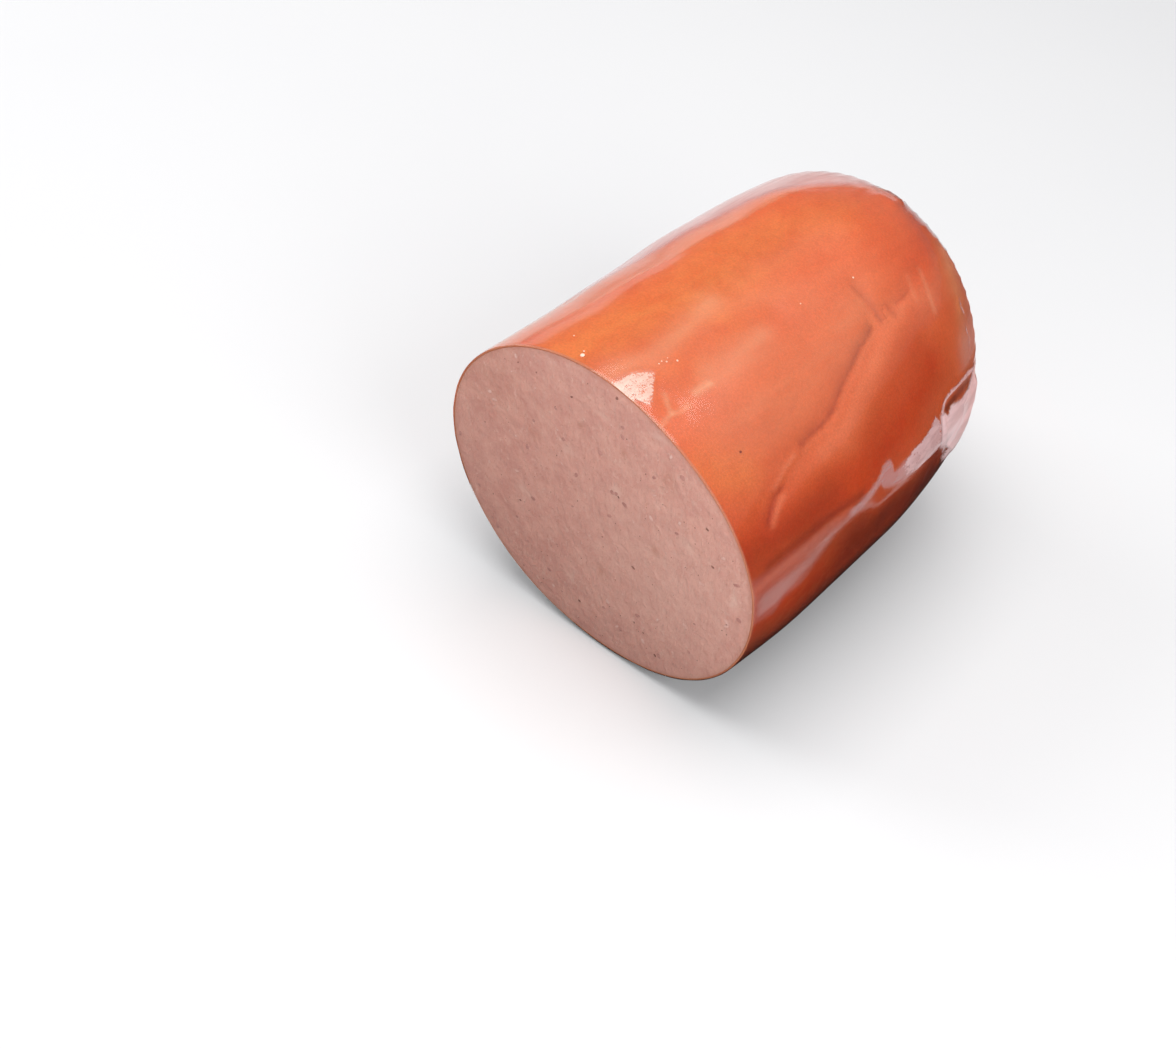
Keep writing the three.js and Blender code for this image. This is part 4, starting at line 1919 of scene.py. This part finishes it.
@dataclass(frozen=True)
class CaughtGrains:
    """Small grains caught under the film, each at a place of its own: its station, angle and width."""

    form: RollForm
    name: str
    finish: SpeckFinish
    places: tuple[tuple[float, float, float], ...]
    flatness: float = 0.5
    rise: float = 0.1
    around: int = 10
    rings: int = 5

    def build(self) -> bpy.types.Object:
        """Makes the grains as one piece of small flattened balls.

        Returns:
            The piece.
        """
        draft = MeshDraft()
        turn = np.linspace(0.0, 2 * math.pi, self.around, endpoint=False)[None, :]
        tilt = np.linspace(-math.pi / 2, math.pi / 2, self.rings + 2)[1:-1, None]
        reach, rise = np.cos(tilt), np.sin(tilt) + 0 * turn
        ball = np.stack([reach * np.cos(turn), reach * np.sin(turn), rise], axis=-1)
        for station, degrees, width in self.places:
            point, out = self.form.spot(station, degrees)
            side = np.cross(out, (0.0, 1.0, 0.0))
            side /= np.linalg.norm(side)
            axes = np.stack([side, np.cross(out, side), out * self.flatness]) * (width / 2)
            middle = point + out * self.rise
            rings = draft.add_points(middle + ball @ axes)
            ends = draft.add_points(middle + np.array([[-1.0], [1.0]]) * axes[2])
            draft.join_rings(rings)
            draft.close_ring(rings[0][::-1], int(ends[0]))
            draft.close_ring(rings[-1], int(ends[1]))
        thing = draft.build(self.name)
        thing.data.materials.append(self.finish.material())
        return thing


def caught_grains(form: RollForm) -> tuple[CaughtGrains, ...]:
    """Lists the grains that show under the film."""
    white = SpeckFinish("white grain", linear(248, 208, 186), linear(240, 186, 160), 0.4)
    dark = SpeckFinish("dark grain", linear(122, 46, 26), linear(142, 62, 34), 0.5)
    pale_places = (
        (0.8, 101.5, 1.5),
        (2.4, 102.4, 0.6),
        (6.6, 110.0, 0.6),
        (93.7, 70.4, 0.65),
        (70.0, 74.0, 0.5),
        (17.3, 83.6, 0.6),
        (20.3, 82.0, 0.7),
        (16.2, 84.6, 0.5),
        (14.8, 84.4, 0.45),
        (18.6, 84.4, 0.4),
        (26.0, 211.0, 1.0),
        (74.0, 150.0, 0.8),
    )
    return (
        CaughtGrains(form, "film_pale_grains", white, pale_places),
        CaughtGrains(form, "film_dark_grains", dark, ((17.8, 49.6, 0.85), (88.0, 187.0, 0.8))),
    )


@dataclass(frozen=True)
class SoftBox:
    """A soft studio light: where it stands and what it faces, and its size, all in metres."""

    name: str
    at: Triple
    aim: Triple
    width: float
    height: float
    power: float
    colour: Colour = (1.0, 1.0, 1.0)

    def place(self) -> None:
        """Sets the light up."""
        lamp = bpy.data.lights.new(self.name, "AREA")
        lamp.shape = "RECTANGLE"
        lamp.size, lamp.size_y = self.width, self.height
        lamp.energy, lamp.color = self.power, self.colour
        thing = in_scene(self.name, lamp)
        thing.location = self.at
        thing.rotation_euler = (Vector(self.aim) - Vector(self.at)).to_track_quat("-Z", "Y").to_euler()
        thing.visible_camera = False


@dataclass
class Studio:
    """The pale floor, a dark card that keeps its glare off the roll, the soft lights and the camera.

    The card lies under a pale insert of the floor. Only light that leaves the roll goes through the insert
    to the card, so the floor looks the same all over. Beyond the roll's right-hand side stand a grey flag
    and, further back, a rosy one, which show in its gloss alone.
    """

    floor_side_m: float = 12.0
    card_middle: Place = (4.0, -58.8)
    card_long: float = 357.0
    card_short: float = 244.0
    card_turn: float = 60.4
    card_depth: float = 0.5
    flag_feet_m: tuple[Place, ...] = ((0.17, -0.14), (0.19, 0.02), (0.152, 0.085), (0.1, 0.124))
    far_flag_feet_m: tuple[Place, ...] = ((0.1, 0.124), (-0.01, 0.186))
    flag_height_m: float = 0.12
    world_colour: Colour = (0.97, 0.97, 1.0)
    world_strength: float = 0.35
    camera_place_m: Triple = (0.2232, -0.3459, 0.4141)
    camera_forward: Triple = (-0.4487, 0.5337, -0.7168)
    camera_right: Triple = (0.7176, 0.6932, 0.0669)
    focal_px: float = 1566.5
    lights: tuple[SoftBox, ...] = (
        SoftBox("overhead softbox", (-0.05, -0.02, 1.26), (-0.05, -0.02, 0.0), 1.2, 1.1, 12.5),
        SoftBox("back strip", (-0.76, 0.64, 0.16), ROLL_MIDDLE_M, 1.4, 0.2, 0.56),
        SoftBox("side fill", (0.4, -0.28, 0.16), ROLL_MIDDLE_M, 0.3, 0.2, 0.4),
        SoftBox("front fill", (0.3, -1.4, 0.5), ROLL_MIDDLE_M, 1.0, 0.8, 3.0),
        SoftBox("right fill", (1.2, -0.3, 0.9), ROLL_MIDDLE_M, 0.8, 0.8, 8.0),
        SoftBox("left fill", (-1.2, -0.3, 0.85), ROLL_MIDDLE_M, 0.8, 0.8, 7.0),
    )
    floor_finish: PlainFinish = PlainFinish(
        "pale floor", linear(223, 223, 223), linear(220, 220, 221), 180.0, 0.6, 0.2
    )
    card_finish: PlainFinish = PlainFinish("dark card", linear(38, 38, 42), linear(52, 52, 56))
    flag_finish: PlainFinish = PlainFinish("grey flag", linear(118, 104, 98), linear(128, 112, 106))
    far_flag_finish: PlainFinish = PlainFinish("rosy flag", linear(226, 138, 112), linear(236, 148, 122))

    def card_corners(self, height: float) -> list[Triple]:
        """Gives the card's corners.

        Args:
            height: How high it lies, in metres.

        Returns:
            The four corners, in metres, in order.
        """
        turn = math.radians(self.card_turn)
        along = Vector((math.cos(turn), math.sin(turn), 0.0)) * (self.card_long / 2)
        across = Vector((-math.sin(turn), math.cos(turn), 0.0)) * (self.card_short / 2)
        middle = Vector((*self.card_middle, height / MM))
        signs = ((-1, -1), (1, -1), (1, 1), (-1, 1))
        return [tuple((middle + along * i + across * j) * MM) for i, j in signs]

    def flat_sheet(
        self,
        name: str,
        corners: list[Triple],
        faces: list[tuple[int, ...]],
        material: bpy.types.Material,
    ) -> bpy.types.Object:
        """Makes one flat piece of the stage.

        Args:
            name: Its name.
            corners: Its points, in metres.
            faces: Its faces.
            material: Its finish.

        Returns:
            The piece.
        """
        mesh = bpy.data.meshes.new(name)
        mesh.from_pydata(corners, [], faces)
        mesh.materials.append(material)
        sheet = in_scene(name, mesh)
        return sheet

    def standing_flag(self, name: str, feet: tuple[Place, ...], finish: PlainFinish) -> None:
        """Stands a flag up that shows only in gloss.

        Args:
            name: Its name.
            feet: The places that its lower edge passes, in metres.
            finish: Its finish.
        """
        count = len(feet)
        corners = [(*foot, height) for height in (0.0, self.flag_height_m) for foot in feet]
        faces = [(k, k + 1, count + k + 1, count + k) for k in range(count - 1)]
        flag = self.flat_sheet(name, corners, faces, finish.material())
        flag.visible_camera = False
        flag.visible_diffuse = False
        flag.visible_shadow = False

    def build(self) -> None:
        """Sets the studio up."""
        floor_material = self.floor_finish.material()
        card_material = self.card_finish.material()
        half = self.floor_side_m / 2
        outer = [(-half, -half, 0.0), (half, -half, 0.0), (half, half, 0.0), (-half, half, 0.0)]
        inner = self.card_corners(0.0)
        ring = [(k, (k + 1) % 4, 4 + (k + 1) % 4, 4 + k) for k in range(4)]
        whole = [(0, 1, 2, 3)]
        self.flat_sheet("floor", outer + inner, ring, floor_material)
        insert = self.flat_sheet("floor_insert", inner, whole, floor_material)
        insert.visible_diffuse = False
        insert.visible_glossy = False
        self.flat_sheet("card", self.card_corners(-self.card_depth * MM), whole, card_material)
        self.standing_flag("flag", self.flag_feet_m, self.flag_finish)
        self.standing_flag("far_flag", self.far_flag_feet_m, self.far_flag_finish)
        world = bpy.data.worlds.new("soft room")
        world.use_nodes = True
        background = world.node_tree.nodes["Background"]
        background.inputs["Color"].default_value = (*self.world_colour, 1.0)
        background.inputs["Strength"].default_value = self.world_strength
        bpy.context.scene.world = world
        for light in self.lights:
            light.place()
        bpy.context.scene.view_settings.view_transform = "Standard"
        self.place_camera()

    def place_camera(self) -> None:
        """Sets the camera at the photograph's viewing angle."""
        forward = Vector(self.camera_forward).normalized()
        right = Vector(self.camera_right)
        right = (right - forward * right.dot(forward)).normalized()
        up = right.cross(forward)
        axes = Matrix((right, up, -forward)).transposed()
        data = bpy.data.cameras.new("camera")
        data.sensor_width = SENSOR_WIDTH
        data.lens = self.focal_px * SENSOR_WIDTH / PHOTO_WIDTH_PX
        camera = in_scene("camera", data)
        camera.matrix_world = Matrix.Translation(Vector(self.camera_place_m)) @ axes.to_4x4()
        bpy.context.scene.camera = camera


def hand_over(piece: bpy.types.Object) -> None:
    """Lets a finished piece ride on the body and hides the plain solid.

    Args:
        piece: The piece.
    """
    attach(piece, BODY)
    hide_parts(NODE)
    triangles = sum(len(face.vertices) - 2 for face in piece.data.polygons)
    log.info("%s: %d triangles", piece.name, triangles)


def main() -> None:
    """Builds the pieces and the studio, and notes the sizes."""
    logging.basicConfig(level=logging.INFO, format="%(name)s: %(message)s")
    form = RollForm()
    Studio().build()
    meat = MeatCore(form).build(MeatFinish().material())
    hand_over(meat)
    for specks in cut_specks():
        hand_over(specks.build(meat))
    hand_over(SkinSleeve(form).build(SkinFinish().material()))
    hand_over(ClearFilm(form).build(FilmFinish().material()))
    for grains in caught_grains(form):
        hand_over(grains.build())


if __name__ == "__main__":
    main()
